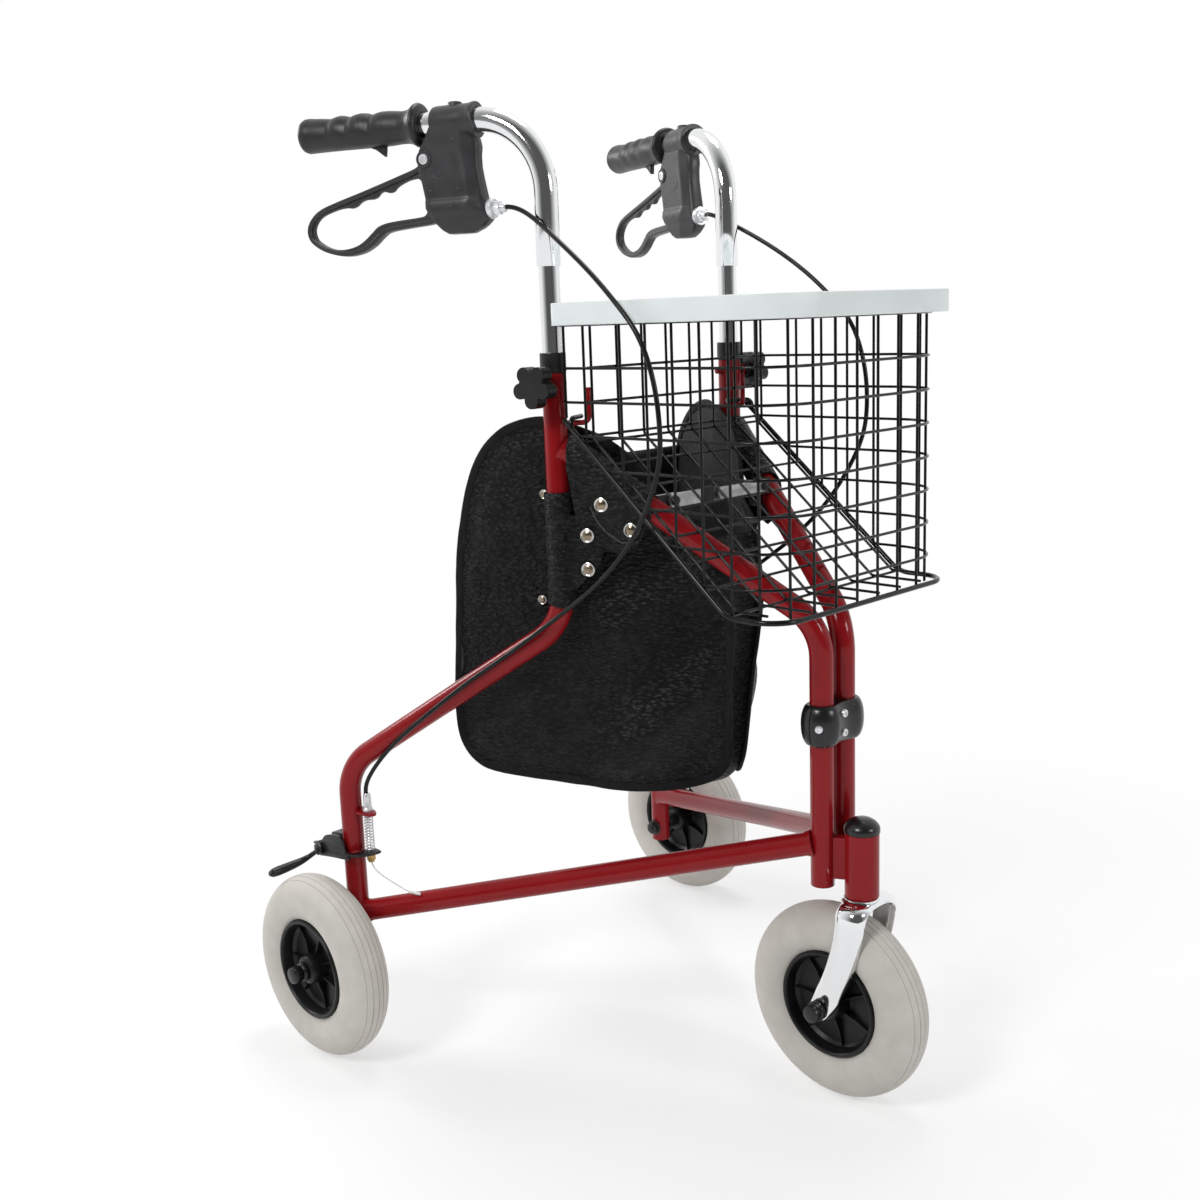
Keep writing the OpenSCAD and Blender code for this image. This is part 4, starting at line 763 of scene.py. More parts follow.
def clampSection(inset):
    # half of a rounded bar with two post bores, in forward and left
    gap = layout["postHalf"] / mm
    reach = clampSpec["outer"] - inset

    def arc(radius, middle, first, last, count):
        turns = (first + (last - first) * i / count for i in range(count + 1))
        return [(max(radius * math.cos(a), clampSpec["split"]), middle + radius * math.sin(a)) for a in turns]
    quarter = math.pi / 2
    outer = arc(reach, gap, quarter, 0, 14)
    outer += [(reach - clampSpec["valley"] * math.sin(math.pi * i / 8), -gap * (i / 8 * 2 - 1))
              for i in range(1, 8)]
    outer += arc(reach, -gap, 0, -quarter, 14)
    bore = clampSpec["bore"]
    return outer + arc(bore, -gap, -quarter, quarter, 16) + arc(bore, gap, -quarter, quarter, 16)


def clampSpot(u, v):
    turn = math.pi * (v - 0.5)
    lean = math.copysign(abs(math.sin(turn)) ** 0.6, turn)
    inset = clampSpec["round"] * (1 - math.sqrt(max(0.0, 1 - lean * lean)))
    section = clampSection(inset)
    x, y = section[int(round(u * len(section))) % len(section)]
    return Vector((x, y, clampSpec["low"] + clampSpec["tall"] * (0.5 + lean / 2))) * mm


def screwHead(radius, tall):
    shape = spun([(0, -0.001), (radius, -0.001), (radius, tall * 0.45), (radius * 0.86, tall * 0.82),
                  (radius * 0.55, tall), (radius * 0.5, tall), (radius * 0.42, tall * 0.45),
                  (0, tall * 0.45)], 32, 1)
    return finishAs(shape, 1)


clampCount = len(clampSection(0))
for word, turned in (("Front", Matrix.Identity(4)), ("Rear", rotated(math.pi))):
    node = "clamp_" + word.lower()
    shape = lofted(clampSpot, clampCount, 28)
    if word == "Front":
        for y, z in clampSpec["screws"]:
            spot = Vector((clampSpec["outer"] - clampSpec["valley"], y, z)) * mm
            joinInto(shape, screwHead(0.0038, 0.0022), Matrix.Translation(spot) @ backward)
        spot = rotated(clampSpec["sideTurn"]) @ Vector((clampSpec["outer"], 0, clampSpec["sideScrew"])) * mm
        spot.y -= layout["postHalf"]
        joinInto(shape, screwHead(0.0036, 0.0020),
                 Matrix.Translation(spot) @ rotated(clampSpec["sideTurn"]) @ backward)
    makePiece("clamp" + word, shape, ["glossPlastic", "brightZinc"], frame["nodes"][node]["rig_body"],
              [node], postPlace @ turned, 35)
print("front end done")


# handles, grips, levers and knobs

handleSpec = {"stem": 0.0095, "stemLow": 0.572, "stemHigh": 0.789, "tube": 0.0111, "bend": 0.068,
              "top": 0.9175, "step": 0.785, "end": 0.2475, "cable": 0.839}
gripSpec = {
    "start": 122, "end": 254, "bore": 11.5, "floor": 248, "underTurn": (-0.2, 0.7),
    "top": [(122, 15.4), (122.6, 17.2), (124, 19.2), (126, 20.0), (128, 19.4), (130.5, 17.6), (133.5, 15.7),
        (138, 14.4), (143, 14.1), (150, 14.9), (157, 15.6), (164, 15.8), (169, 15.2), (172.5, 14.2),
        (174.5, 13.8), (176.5, 14.3), (181, 15.6), (187, 16.2), (193, 15.6), (197.5, 14.3), (199.5, 13.9),
        (201.5, 14.3), (206, 15.5), (210.5, 16.0), (215, 15.4), (219, 14.3), (221.5, 14.0), (226, 14.5),
        (233, 15.2), (240, 15.7), (245, 16.3), (249, 16.2), (252, 14.9), (253.6, 12.4), (254, 9.0)],
    "under": [(122, 15.4), (122.6, 17.2), (124, 19.2), (126, 20.0), (128, 19.4), (130.5, 17.8), (134, 16.2),
        (139, 15.1), (146, 15.0), (156, 15.6), (166, 15.9), (180, 15.8), (215, 15.5), (240, 15.6),
        (249, 15.8), (252, 14.8), (253.6, 12.4), (254, 9.0)],
    "spur": [(182, 902.6), (174, 899.4), (165.6, 893.4), (164.4, 893.8), (163.6, 903.5), (172, 905)],
}
housingSpec = {
    "levels": [818.5, 819, 820, 822, 825, 829, 832, 834, 835, 836.5, 839, 842, 845, 847.5, 849, 850, 852, 858,
        866, 876, 886, 894, 900, 905, 909, 913],
    "rear": [(818.5, 98), (822, 103.5), (828, 109.5), (834, 114), (842, 118), (852, 119), (866, 121.8),
        (876, 124.4), (884, 125.4), (891, 124.6), (897, 121), (905, 115.5), (913, 111.5)],
    "front": [(818.5, 73), (822, 64.5), (826, 58.5), (830, 55), (838, 56.2), (849, 59.7), (863, 62.5),
        (876, 64.5), (887, 64.8), (896, 63.5), (905, 67), (913, 69)],
    "ridge": [(818.5, 84), (834, 78), (850, 74), (873, 76), (892, 80.5), (905, 80), (913, 80)],
    "half": [(818.5, 7.5), (819, 8.4), (822, 9.8), (829, 11.4), (834, 12.0), (835, 12.4), (836.5, 13.3),
        (842, 14.0), (847.5, 13.3), (849, 12.4), (850, 12.0), (900, 12.0), (905, 12.2), (913, 12.0)],
    "frontHalf": [(818.5, 5.0), (826, 6.5), (838, 8.5), (849, 7.5), (880, 6.6), (905, 7.5), (913, 8.5)],
    "slot": 5.6, "slotFront": 99, "slotTop": 903,
    "arc": [(109, 871), (106, 869), (103, 868), (99, 867.2), (95.8, 867.1), (92, 868), (88.3, 869.6),
        (85.2, 871.4), (83.6, 873), (83, 875), (83.4, 877)],
    "marks": [(86, 901), (112.5, 857), (83, 857.5), (91, 842)],
    "pivot": (117, 886),
}
leverSpec = {
    "outer": [(126, 887), (128.5, 881.5), (134.5, 878.6), (148.3, 874.6), (170.4, 868.4), (194.8, 861.8),
        (221.8, 854.8), (240.8, 848.6), (252, 840), (256.4, 830.2), (253.4, 820), (242, 811.6),
        (228, 806.6), (211.9, 804.2), (195.5, 806.6), (183, 812.4), (174.5, 818.8), (168, 823),
        (160, 824.8), (148, 826), (136.4, 827), (118, 828.6), (110, 831), (106.6, 838), (106.4, 850),
        (107, 866), (108.6, 880), (110, 890), (114, 894), (119, 894.6), (123.6, 892)],
    "inner": [(129.4, 870), (135, 870.2), (141, 869.2), (148, 866.8), (153.5, 864.2), (158, 860.6),
        (162.5, 859.8), (168, 861.2), (172.5, 860), (176.5, 856.6), (181, 855.2), (186, 855.2),
        (191, 854.6), (195.5, 852.8), (200, 849.8), (205, 848.4), (211, 849), (219, 848.4), (228.7, 846.2),
        (239.5, 842.6), (246.4, 837), (249.6, 829.6), (246.6, 821), (236.5, 813.8), (220.5, 810.8),
        (205.1, 812.7), (194, 817.6), (184, 825), (177, 830), (167.3, 832.7), (155, 834), (143.6, 834.8),
        (132, 835.6), (125.4, 836.8), (122.4, 840.6), (122.2, 848), (123.2, 857), (125.4, 865)],
    "half": 5.0, "round": 1.2, "rim": 4.6, "web": 2.6,
}


def gripSpot(u, v):
    # v runs from the flange to the end, with finger waves on top and a nearly plain underside
    spec = gripSpec
    along = spec["start"] + (spec["end"] - spec["start"]) * v
    turn = 2 * math.pi * u
    under = ramp(math.cos(turn), *spec["underTurn"])
    radius = alongTable(spec["top"], along) * (1 - under) + alongTable(spec["under"], along) * under
    return Vector((radius * math.cos(turn), radius * math.sin(turn), along)) * mm


def gripShape():
    shape = sheetFrom(gripSpot, 64, 132)
    joinVerts(shape)
    ends = [e for e in shape.edges if e.is_boundary]
    rings = [[e for e in ends if (e.verts[0].co.z > 0.2) == far] for far in (False, True)]
    bmesh.ops.holes_fill(shape, edges=rings[1], sides=0)
    bore = bmesh.ops.extrude_edge_only(shape, edges=rings[0])
    for vert in newVerts(bore):
        vert.co.x, vert.co.y = vert.co.xy.normalized() * gripSpec["bore"] * mm
    bore = bmesh.ops.extrude_edge_only(shape, edges=openEdges(bore))
    for vert in newVerts(bore):
        vert.co.z = gripSpec["floor"] * mm
    bmesh.ops.holes_fill(shape, edges=openEdges(bore), sides=0)
    return turnOut(shape)


def housingSection(z):
    # one level of the housing: a channel open to the back, where the lever goes in
    spec = housingSpec
    keys = ("rear", "front", "ridge", "half", "frontHalf")
    rear, front, ridge, half, slim = (alongTable(spec[key], z) for key in keys)
    slot = spec["slot"]
    depth = rear - 0.4 if z > spec["slotTop"] else min(spec["slotFront"], rear - 1.5)
    right = [(rear, slot), (rear, half - 2.2), (rear - 0.7, half - 0.8), (rear - 2.4, half)]
    right += [(rear - 2.4 + (ridge + 1.2 - rear + 2.4) * i / 8, half) for i in range(1, 9)]
    right += [(ridge - 0.8, half - 0.35)]
    right += [(ridge - 0.8 + (front + 2.2 - ridge + 0.8) * i / 5, half - 0.35 + (slim - half + 0.35) * i / 5)
              for i in range(1, 6)]
    right += [(front + 0.6, slim - 1.6), (front, slim - 3.2)]
    left = [(x, -y) for x, y in reversed(right)]
    return right + left + [(depth, -slot), (depth, slot)]


housingCount = len(housingSection(850))


def housingSpot(u, v):
    levels = housingSpec["levels"]
    z = levels[int(round(v * (len(levels) - 1)))]
    x, y = housingSection(z)[int(round(u * housingCount)) % housingCount]
    return Vector((x, y, z)) * mm


def housingShape():
    shape = lofted(housingSpot, housingCount, len(housingSpec["levels"]) - 1)
    sleeve = spun([(11.4, 65), (15.2, 65), (16, 65.6), (16.1, 68), (15.7, 70), (15.2, 71.2), (15.1, 79),
                   (15.1, 106), (14.6, 108.2), (13.6, 109.2), (11.4, 109.2)], 56)
    joinInto(shape, sleeve, moved(0, 0, handleSpec["top"]) @ backward)
    button = spun([(0, 12), (6.6, 12), (6.6, 15.8), (6, 17), (5.2, 17.3), (4.6, 16.6), (0, 16.6)], 32)
    joinInto(shape, button, moved(0.088, 0, handleSpec["top"]))
    for sign in (1, -1):
        facing = rotated(-sign * math.pi / 2, "X")
        arc = [(s * mm, sign * 0.01195, z * mm) for s, z in housingSpec["arc"]]
        joinInto(shape, strandMesh([smoothPath(arc, 3)], 0.0004, 2))
        for s, z in housingSpec["marks"]:
            out = alongTable(housingSpec["half"], z)
            mark = spun([(0, -0.5), (1.6, -0.5), (1.5, 0.2), (1.2, 0.3), (0, 0.3)], 20)
            joinInto(shape, mark, moved(s * mm, sign * out * mm, z * mm) @ facing)
        boss = spun([(5, -1), (7.7, -1), (7.7, 0.8), (7, 1.6), (5.6, 1.6), (5, 0.8)], 40)
        screw = spun([(0, -1), (4.7, -1), (4.7, 1.6), (4, 2.2), (2.4, 2.3), (2, 1.2), (0, 1.2)], 32)
        s, z = housingSpec["pivot"]
        seat = moved(s * mm, sign * 0.012, z * mm) @ facing
        joinInto(shape, boss, seat)
        joinInto(shape, finishAs(screw, 1), seat)
    pin = bar((s * mm, -0.0115, z * mm), (s * mm, 0.0115, z * mm), 0.0028, 20)
    return joinInto(shape, finishAs(pin, 1))


def adjusterShape():
    # flange against the housing, hex nut and ferrule, along the handle
    shape = spun([(0, 58.5), (7.5, 58.5), (9.4, 56), (9.5, 53.2), (8.6, 52.2), (0, 52.2)], 36)
    joinInto(shape, bar((0, 0, 0.0455), (0, 0, 0.0525), 0.0068, 6, 0.0007))
    ferrule = spun([(0, 46.5), (5, 46.5), (5, 44.8), (4.2, 44), (4, 41.2), (3.4, 40.4), (0, 40.4)], 28)
    return joinInto(shape, ferrule)


for side in sides:
    stem = [(0, 0, handleSpec["stemLow"]), (0, 0, handleSpec["stemHigh"])]
    shape = strandMesh([stem], handleSpec["stem"], 12)
    bendPath = fillet([(0, 0, handleSpec["step"]), (0, 0, handleSpec["top"]),
                       (handleSpec["end"], 0, handleSpec["top"])], handleSpec["bend"], 20)
    joinInto(shape, bevelSharp(strandMesh([bendPath], handleSpec["tube"], 12), 0.0006, 2, 60))
    sidePiece(side, "HandleTube", shape, "chrome", "_handle", handlePlace)
    shape = gripShape()
    shape.transform(moved(0, 0, handleSpec["top"]) @ backward)
    joinInto(shape, flatShape([smoothLoop(gripSpec["spur"], 3)], 0.0024, 0.0008))
    sidePiece(side, "Grip", shape, "gripRubber", "_handle", handlePlace, 50)
    sidePiece(side, "BrakeHousing", housingShape(), ["housingPlastic", "brightZinc"], "_handle",
              handlePlace, 28)
    sidePiece(side, "CableAdjuster", adjusterShape(), "brightZinc", "_handle",
              handlePlace @ moved(0, 0, handleSpec["cable"]) @ backward)
    outer, inner = (smoothLoop(leverSpec[key]) for key in ("outer", "inner"))
    rim = [outer, drawnIn(outer, leverSpec["rim"] * mm)]
    shape = flatShape(rim, leverSpec["half"] * mm, leverSpec["round"] * mm)
    web = [drawnIn(outer, mm), inner]
    joinInto(shape, flatShape(web, leverSpec["web"] * mm, leverSpec["round"] * mm))
    sidePiece(side, "BrakeLever", shape, "housingPlastic", "_lever", handlePlace, 35)
    polish(side + "_knob", side + "Knob", 0.0020, "blackPlastic", 3, 40)
print("handles done")


# brakes: cables, ferrules, springs and arms

cableSpec = {
    "radius": 0.0022,
    "route": [(-228, -138, 830), (-185, -147, 806), (-143, -152, 778), (-110, -154, 750), (-86, -154, 724),
              (-72, -153, 692), (-66, -152, 657), (-68, -150, 618), (-85, -147, 580), (-113, -144, 541),
              (-155, -142, 502), (-210, -143, 464), (-256, -161, 428), (-300, -182, 395), (-337, -201, 363),
              (-371, -216, 333), (-398, -224, 305)],
    "loose": (0.05, 0, 0.740),
    "held": (-0.0056, 0, 0.8511),
    "easing": 8,
}
springSpec = {"radius": 0.0042, "wire": 0.00075, "turns": 12, "steps": 18, "low": 0.2085, "high": 0.2460}
bracketSpec = {
    "cheek": [(4, 196), (4, 220), (14, 221.5), (27, 220), (33, 214), (41, 209.5), (44, 203), (41, 196),
        (34, 193.5)],
    "cheekOut": 0.0056,
    "bolt": (0.035, 0.203),
    # low, high, radius, corners and bevel of each step along the bolt
    "steps": [(-0.0085, 0.0142, 0.0044, 24, 0), (0.0181, 0.0228, 0.0068, 6, 0.0006),
        (0.0140, 0.0222, 0.0030, 20, 0), (0.0228, 0.0244, 0.0030, 20, 0.0005),
        (-0.0125, -0.0070, 0.0068, 6, 0.0006)],
}
armSpec = {
    "strip": [(46, 14), (48, 16.5), (46, 18), (20, 18.2), (-6, 18), (-18, 15), (-26, 7), (-29.5, -1),
        (-30.5, -11), (-27, -12.5), (-20, -12.8), (-15, -11), (-14, -4), (-14.5, 6), (-11, 12.6), (4, 14),
        (26, 14)],
    "ear": [(-16, 203.2), (-10, 206.8), (-6, 214), (-3, 222), (4, 224.5), (22, 220.8), (28, 217.6),
        (33, 212.6), (40, 210), (44.5, 204), (43.5, 197.5), (38, 194.4), (30, 195.6), (10, 198.6),
        (-6, 200.6)],
    "paddle": [(37, 16.2, 202), (43, 16.8, 198.5), (49, 18, 194), (54, 21.5, 189.8), (57, 28, 186.6),
        (58.2, 37, 185), (58.4, 47, 184.2), (58.3, 57, 183.8), (58, 64, 183.7), (58, 67.8, 183.7)],
    "girth": [0.62, 0.56, 0.54, 0.60, 0.76, 0.92, 1.02, 1.06, 0.92, 0.45],
    "thick": 0.0048,
    "tail": [(-20.5, -6, 197), (-21.2, -6.4, 192), (-24, -7.6, 187), (-29, -9.8, 182.5), (-37, -12.8, 178),
        (-47, -16.2, 173.4), (-57, -19.8, 169.2), (-63, -22.2, 167.1)],
    "cap": [(-62, -21.8, 167.4), (-72.5, -26.8, 166.4)],
    "nuts": [(0.1975, 0.2047, 0.0050), (0.1950, 0.1978, 0.0036)],
}
brakeSpot = Vector((-0.0205, -0.006, 0))
brakePlace = legPlace @ Matrix.Translation(brakeSpot)
for side, flip in sides.items():
    route = [handlePlace @ Vector((back, 0, handleSpec["cable"])) for back in (0.046, 0.034)]
    route += [postPlace @ (Vector(p) * mm) for p in cableSpec["route"]]
    route += [legPlace @ (brakeSpot + Vector((0, 0, up))) for up in (0.279, 0.262)]
    path = eased(smoothPath(route, 8), cableSpec["easing"], 5)
    shape = strandMesh([path], cableSpec["radius"], 5)
    cable = sidePiece(side, "BrakeCable", shape, "casingBlack", None, Matrix.Identity(4))
    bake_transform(cable)

    shape = spun([(0, 250.2), (5.2, 250.2), (5.4, 250.8), (5.4, 253), (4.6, 253.8), (4.2, 254.6),
                  (4, 265), (3.6, 268.4), (3.1, 269.2), (0, 269.2)], 28)
    makePiece(side + "BrakeFerrule", shape, "brightZinc", side + "_frame", (),
              flip @ brakePlace)
    shape = bar((0, 0, 0.205), (0, 0, 0.2505), 0.0008, 12)
    wire = sidePiece(side, "BrakeWire", shape, "brightZinc", "_frame", brakePlace)
    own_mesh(wire)

    coil = []
    coilSteps = springSpec["turns"] * springSpec["steps"]
    for i in range(coilSteps + 1):
        t = i / coilSteps
        a = 2 * math.pi * springSpec["turns"] * t
        rise = springSpec["low"] + (springSpec["high"] - springSpec["low"]) * t
        coil.append((springSpec["radius"] * math.cos(a), springSpec["radius"] * math.sin(a), rise))
    shape = strandMesh([coil], springSpec["wire"], 2)
    spring = sidePiece(side, "BrakeSpring", shape, "brightZinc", "_frame", brakePlace)
    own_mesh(spring)

    shape = block((0.0095, -0.0068, 0.2165), (0.030, 0.0068, 0.2190), 0.0006, 2)
    for sign in (1, -1):
        cheek = flatShape([smoothLoop(bracketSpec["cheek"], 2)], 0.0014, 0.0005)
        joinInto(shape, cheek, moved(0, sign * bracketSpec["cheekOut"], 0))
    x, z = bracketSpec["bolt"]
    for low, high, radius, around, bevel in bracketSpec["steps"]:
        joinInto(shape, bar((x, low, z), (x, high, z), radius, around, bevel))
    sidePiece(side, "BrakeBracket", shape, "blackSteel", "_frame", legPlace)

    shape = flatShape([smoothLoop(armSpec["strip"], 3)], 0.0013, 0.0005)
    shape.transform(moved(0, 0, 0.2062) @ outward)
    ear = flatShape([smoothLoop(armSpec["ear"], 3)], 0.00125, 0.0004)
    joinInto(shape, ear, moved(0, 0.01685, 0))
    path, tail, cap = ([Vector(p) * mm for p in armSpec[key]] for key in ("paddle", "tail", "cap"))
    girth = [(i / (len(armSpec["girth"]) - 1), g) for i, g in enumerate(armSpec["girth"])]
    joinInto(shape, strandMesh([smoothPath(path, 5)], armSpec["thick"], 6,
                               lambda i, n: alongTable(girth, i / (n - 1))))
    for low, high, radius in armSpec["nuts"]:
        nut = bar(brakeSpot + Vector((0, 0, low)), brakeSpot + Vector((0, 0, high)), radius, 6, 0.0005)
        joinInto(shape, finishAs(nut, 1))
    joinInto(shape, finishAs(strandMesh([smoothPath(tail, 5)], 0.0006, 3), 2))
    joinInto(shape, finishAs(bar(*cap, 0.0015, 20, 0.0004), 2))
    sidePiece(side, "BrakeArm", shape, ["blackSteel", "brass", "endCapWhite"], "_arm",
              legPlace)
polish("brace_strap", "braceStrap", 0.0005, "webbing")
print("brakes done")


# wire basket and tray

basketSpec = {"front": 0.039, "rear": 0.203, "rearWall": 0.178, "half": 0.128, "corner": 0.050,
              "floor": 0.488, "slopeStart": 0.014, "slopeTop": 0.650, "rimZ": 0.7333, "pitch": 0.0305,
              "weave": 0.00107, "wire": 0.0013, "rimWire": 0.0025, "baseWire": 0.0024, "crossWire": 0.0023,
              "hookWire": 0.0022, "hookIn": 0.013, "firstRow": 0.75, "slopeIn": 0.005, "slopeEdge": 0.0026}
netFront, netRear, rearWall, netHalf, corner, floorZ, slopeStart, rimZ, pitch, weave, rimGrow = (
    basketSpec[key] for key in ("front", "rear", "rearWall", "half", "corner", "floor", "slopeStart", "rimZ",
                                "pitch", "weave", "rimWire"))
basketRise = (basketSpec["slopeTop"] - floorZ) / (netRear - slopeStart)


def slopeZ(back):
    return floorZ + max(0.0, back - slopeStart) * basketRise


def slopeBack(z):
    return min(netRear, slopeStart + max(0.0, z - floorZ) / basketRise)


def basketLoop(grow, z, back):
    # one wire down the right side, round the front and up the left side
    out, ahead = netHalf + grow, netFront + grow
    corners = [(-back, -out, z), (ahead, -out, z), (ahead, out, z), (-back, out, z)]
    return fillet(corners, corner + grow, 12)


def crossWire(x, out, z):
    return [(x, -out, z), (x, out, z)]


def upWire(x, y, low):
    return [(x, y, low), (x, y, rimZ)]


loopHalf = netHalf + rimGrow
shape = strandMesh([basketLoop(rimGrow, rimZ, netRear)], rimGrow, 5)
joinInto(shape, strandMesh([crossWire(-rearWall, loopHalf, rimZ)], basketSpec["crossWire"], 5))
makePiece("basketRim", shape, "wireBlack", "basket", ["basket_rim"], postPlace)

lowZ = floorZ - rimGrow
edge = [(-netRear, slopeZ(netRear) - rimGrow), (-slopeStart, lowZ), (netFront + rimGrow, lowZ)]
edgePath = [(x, -loopHalf, z) for x, z in edge] + [(x, loopHalf, z) for x, z in reversed(edge)]
shape = strandMesh([fillet(edgePath, 0.03, 10)], basketSpec["baseWire"], 5)
hookSpot = framePlace @ Vector((layout["receiver"] - tubeSpec["radius"] - hookSpec["gap"] / 2, 0,
                                hookSpec["z"] + hookSpec["rod"] + hookSpec["play"] + basketSpec["baseWire"]))
hookSpot.x -= originX
outNormal = Vector((math.sin(layout["halfAngle"]), -math.cos(layout["halfAngle"]), 0))
hookStart = hookSpot + outNormal * (loopHalf + hookSpot.y) / math.cos(layout["halfAngle"])
hookWire = fillet([(hookStart.x, -loopHalf, slopeZ(-hookStart.x) - rimGrow),
                   (hookStart.x, -loopHalf, hookSpot.z),
                   hookSpot - outNormal * basketSpec["hookIn"]], 0.006, 8)
for flip in sides.values():
    joinInto(shape, strandMesh([hookWire], basketSpec["hookWire"], 5), flip)
makePiece("basketBase", shape, "wireBlack", "basket", ["basket_base"], postPlace)

rows = int((rimZ - floorZ - pitch / 2) / pitch)
rowsZ = [floorZ + (i + basketSpec["firstRow"]) * pitch for i in range(rows)]
sideFront = netFront - corner
frontHalf = netHalf - corner
wires = [basketLoop(weave, z, slopeBack(z)) for z in rowsZ]
columns = int((sideFront + rearWall) / pitch)
for x in [-netRear, -rearWall] + [sideFront - i * pitch for i in range(columns)]:
    wires += [upWire(x, sign * (netHalf - weave), slopeZ(-x) - 0.001) for sign in (-1, 1)]
frontCount = int(2 * frontHalf / pitch)
wires += [upWire(netFront - weave, -frontHalf + j * 2 * frontHalf / frontCount, lowZ)
          for j in range(frontCount + 1)]
for sign in (-1, 1):
    for angle in (math.radians(30), math.radians(60)):
        reach = corner - weave
        wires.append(upWire(sideFront + reach * math.cos(angle),
                            sign * (frontHalf + reach * math.sin(angle)), lowZ))
slopeEdge = basketSpec["slopeEdge"]
slopeHalf = netHalf - basketSpec["slopeIn"] - slopeEdge
slopeCount = int(2 * slopeHalf / pitch)
for j in range(slopeCount + 1):
    y = -slopeHalf + slopeEdge + j * 2 * (slopeHalf - slopeEdge) / slopeCount
    past = max(0.0, abs(y) - frontHalf)
    ahead = sideFront + math.sqrt(corner ** 2 - past ** 2)
    down = [(-rearWall, y, rimZ), (-rearWall, y, slopeZ(rearWall) + weave),
            (-slopeStart, y, floorZ + weave), (ahead, y, floorZ + weave)]
    wires.append(fillet(down, 0.006, 5))
slopeLong = rearWall - slopeStart
slopeRows = int(slopeLong / (pitch * math.cos(math.atan(basketRise))))
for i in range(slopeRows + 1):
    back = slopeStart + i * slopeLong / slopeRows
    wires.append(crossWire(-back, loopHalf, slopeZ(back) - weave))
wires += [crossWire(-rearWall - 2 * weave, slopeHalf, z) for z in rowsZ if z > slopeZ(rearWall)]
makePiece("basketNet", strandMesh(wires, basketSpec["wire"], 3), "wireBlack", "basket",
          ["basket_right_net", "basket_left_net", "basket_front_net", "basket_slope_net", "basket_rear_net"],
          postPlace)

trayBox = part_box("tray")
traySpec = {"front": 0.055, "rear": 0.207, "half": 0.144, "corner": 0.060, "rearCorner": 0.012,
            "top": trayBox[1].z, "bottom": trayBox[0].z, "wall": 0.003, "depth": 0.0128, "hollow": 0.004,
            "arc": 16}


def trayOutline():
    spec = traySpec
    points = []
    for x, y, radius, start in ((spec["front"], spec["half"], spec["corner"], 0),
                                (-spec["rear"], spec["half"], spec["rearCorner"], 90),
                                (-spec["rear"], -spec["half"], spec["rearCorner"], 180),
                                (spec["front"], -spec["half"], spec["corner"], 270)):
        x -= math.copysign(radius, x)
        y -= math.copysign(radius, y)
        turns = (math.radians(start + 90 * i / spec["arc"]) for i in range(spec["arc"] + 1))
        points += [(x + radius * math.cos(a), y + radius * math.sin(a)) for a in turns]
    return points


def inset(shape, faces, thickness, depth=0.0):
    bmesh.ops.inset_region(shape, faces=faces, thickness=thickness, depth=depth, use_even_offset=True)


shape = bmesh.new()
face = shape.faces.new([shape.verts.new((x, y, traySpec["bottom"])) for x, y in trayOutline()])
grown = bmesh.ops.extrude_face_region(shape, geom=[face])
topFace = [g for g in grown["geom"] if isinstance(g, bmesh.types.BMFace)]
bmesh.ops.translate(shape, vec=(0, 0, traySpec["top"] - traySpec["bottom"]), verts=newVerts(grown))
turnOut(shape)
inset(shape, topFace, traySpec["wall"])
inset(shape, topFace, 0.002, -traySpec["depth"])
under = [f for f in shape.faces if f.normal.z < -0.9]
inset(shape, under, traySpec["wall"])
inset(shape, under, 0.0005, -traySpec["hollow"])
bevelSharp(shape, 0.0011, 3, 35)
makePiece("trayDish", shape, "trayWhite", "tray_body", ["tray"], postPlace, 50)
print("basket and tray done")


# soft bag: two side panels, one gusset strip, binding, sleeves and snap flaps
# its settings are in millimetres back, out and up, apart from the sheets' sizes in metres

bagSpec = {
    "outline": [(97, 322), (101, 304), (112, 291), (132, 284), (163, 281), (205, 283), (240, 286),
        (286, 289), (336, 293), (357, 302), (369, 318), (374, 339), (374, 371), (370, 411), (366, 456),
        (362, 511), (356, 547), (348, 579), (338, 604), (325, 623), (308, 637), (288, 645), (265, 648),
        (244, 643), (224, 637), (205, 629), (190, 619), (176, 606), (165, 590), (157, 572), (149, 558),
        (136, 553), (118, 547), (104, 533), (95, 505), (90, 470), (91, 430), (95, 394), (96, 356)],
    "centre": (228, 440), "rings": 40, "around": 156, "gussetStart": 33, "gussetEnd": 17,
    "edgeSteps": 4, "wall": 2.2, "binding": 9.0, "bindingThick": 4.6,
    "panelFlat": (0.284, 0.367), "panelArea": 0.087, "gussetFlat": (0.319, 0.80), "gussetArea": 0.147,
}
# places where the panel turns from one form to the next, and by how much
panelSpec = {
    "stand": 16, "front": (215, 95), "low": (470, 300), "frontIn": 21, "frontLowIn": 19, "rearLowIn": 7,
    "rear": (280, 370), "rearIn": 5,
    "edge": (1, 0.84), "heldUp": (415, 485), "heldBack": 248, "heldWide": 60,
    "waveStart": 467, "waveLean": 0.75, "waveLong": 127, "foldBack": (250, 180), "foldUp": (520, 440),
    "base": 1.2, "puff": 1.5, "wave": 5.2, "fold": 3.8, "ripple": 2.2, "small": 1.1,
}
gussetSpec = {"inset": 3.0, "behind": 1.6, "rearBack": (330, 365), "rearUp": (292, 352), "under": (315, 293),
              "bulge": 0.042, "bulgePower": 0.8, "draw": 0.004, "sag": 0.006, "ripple": 0.003}


def panelOut(back, up):
    # how far the panel lies from the frame's plane; it comes in towards the front and the bottom
    spec = panelSpec
    ahead = ramp(back, *spec["front"])
    low = share(up, *spec["low"])
    frontIn = ahead * (spec["frontIn"] + spec["frontLowIn"] * low)
    lowIn = (1 - ahead) * spec["rearLowIn"] * low
    return -spec["stand"] - frontIn - lowIn - spec["rearIn"] * ramp(back, *spec["rear"])


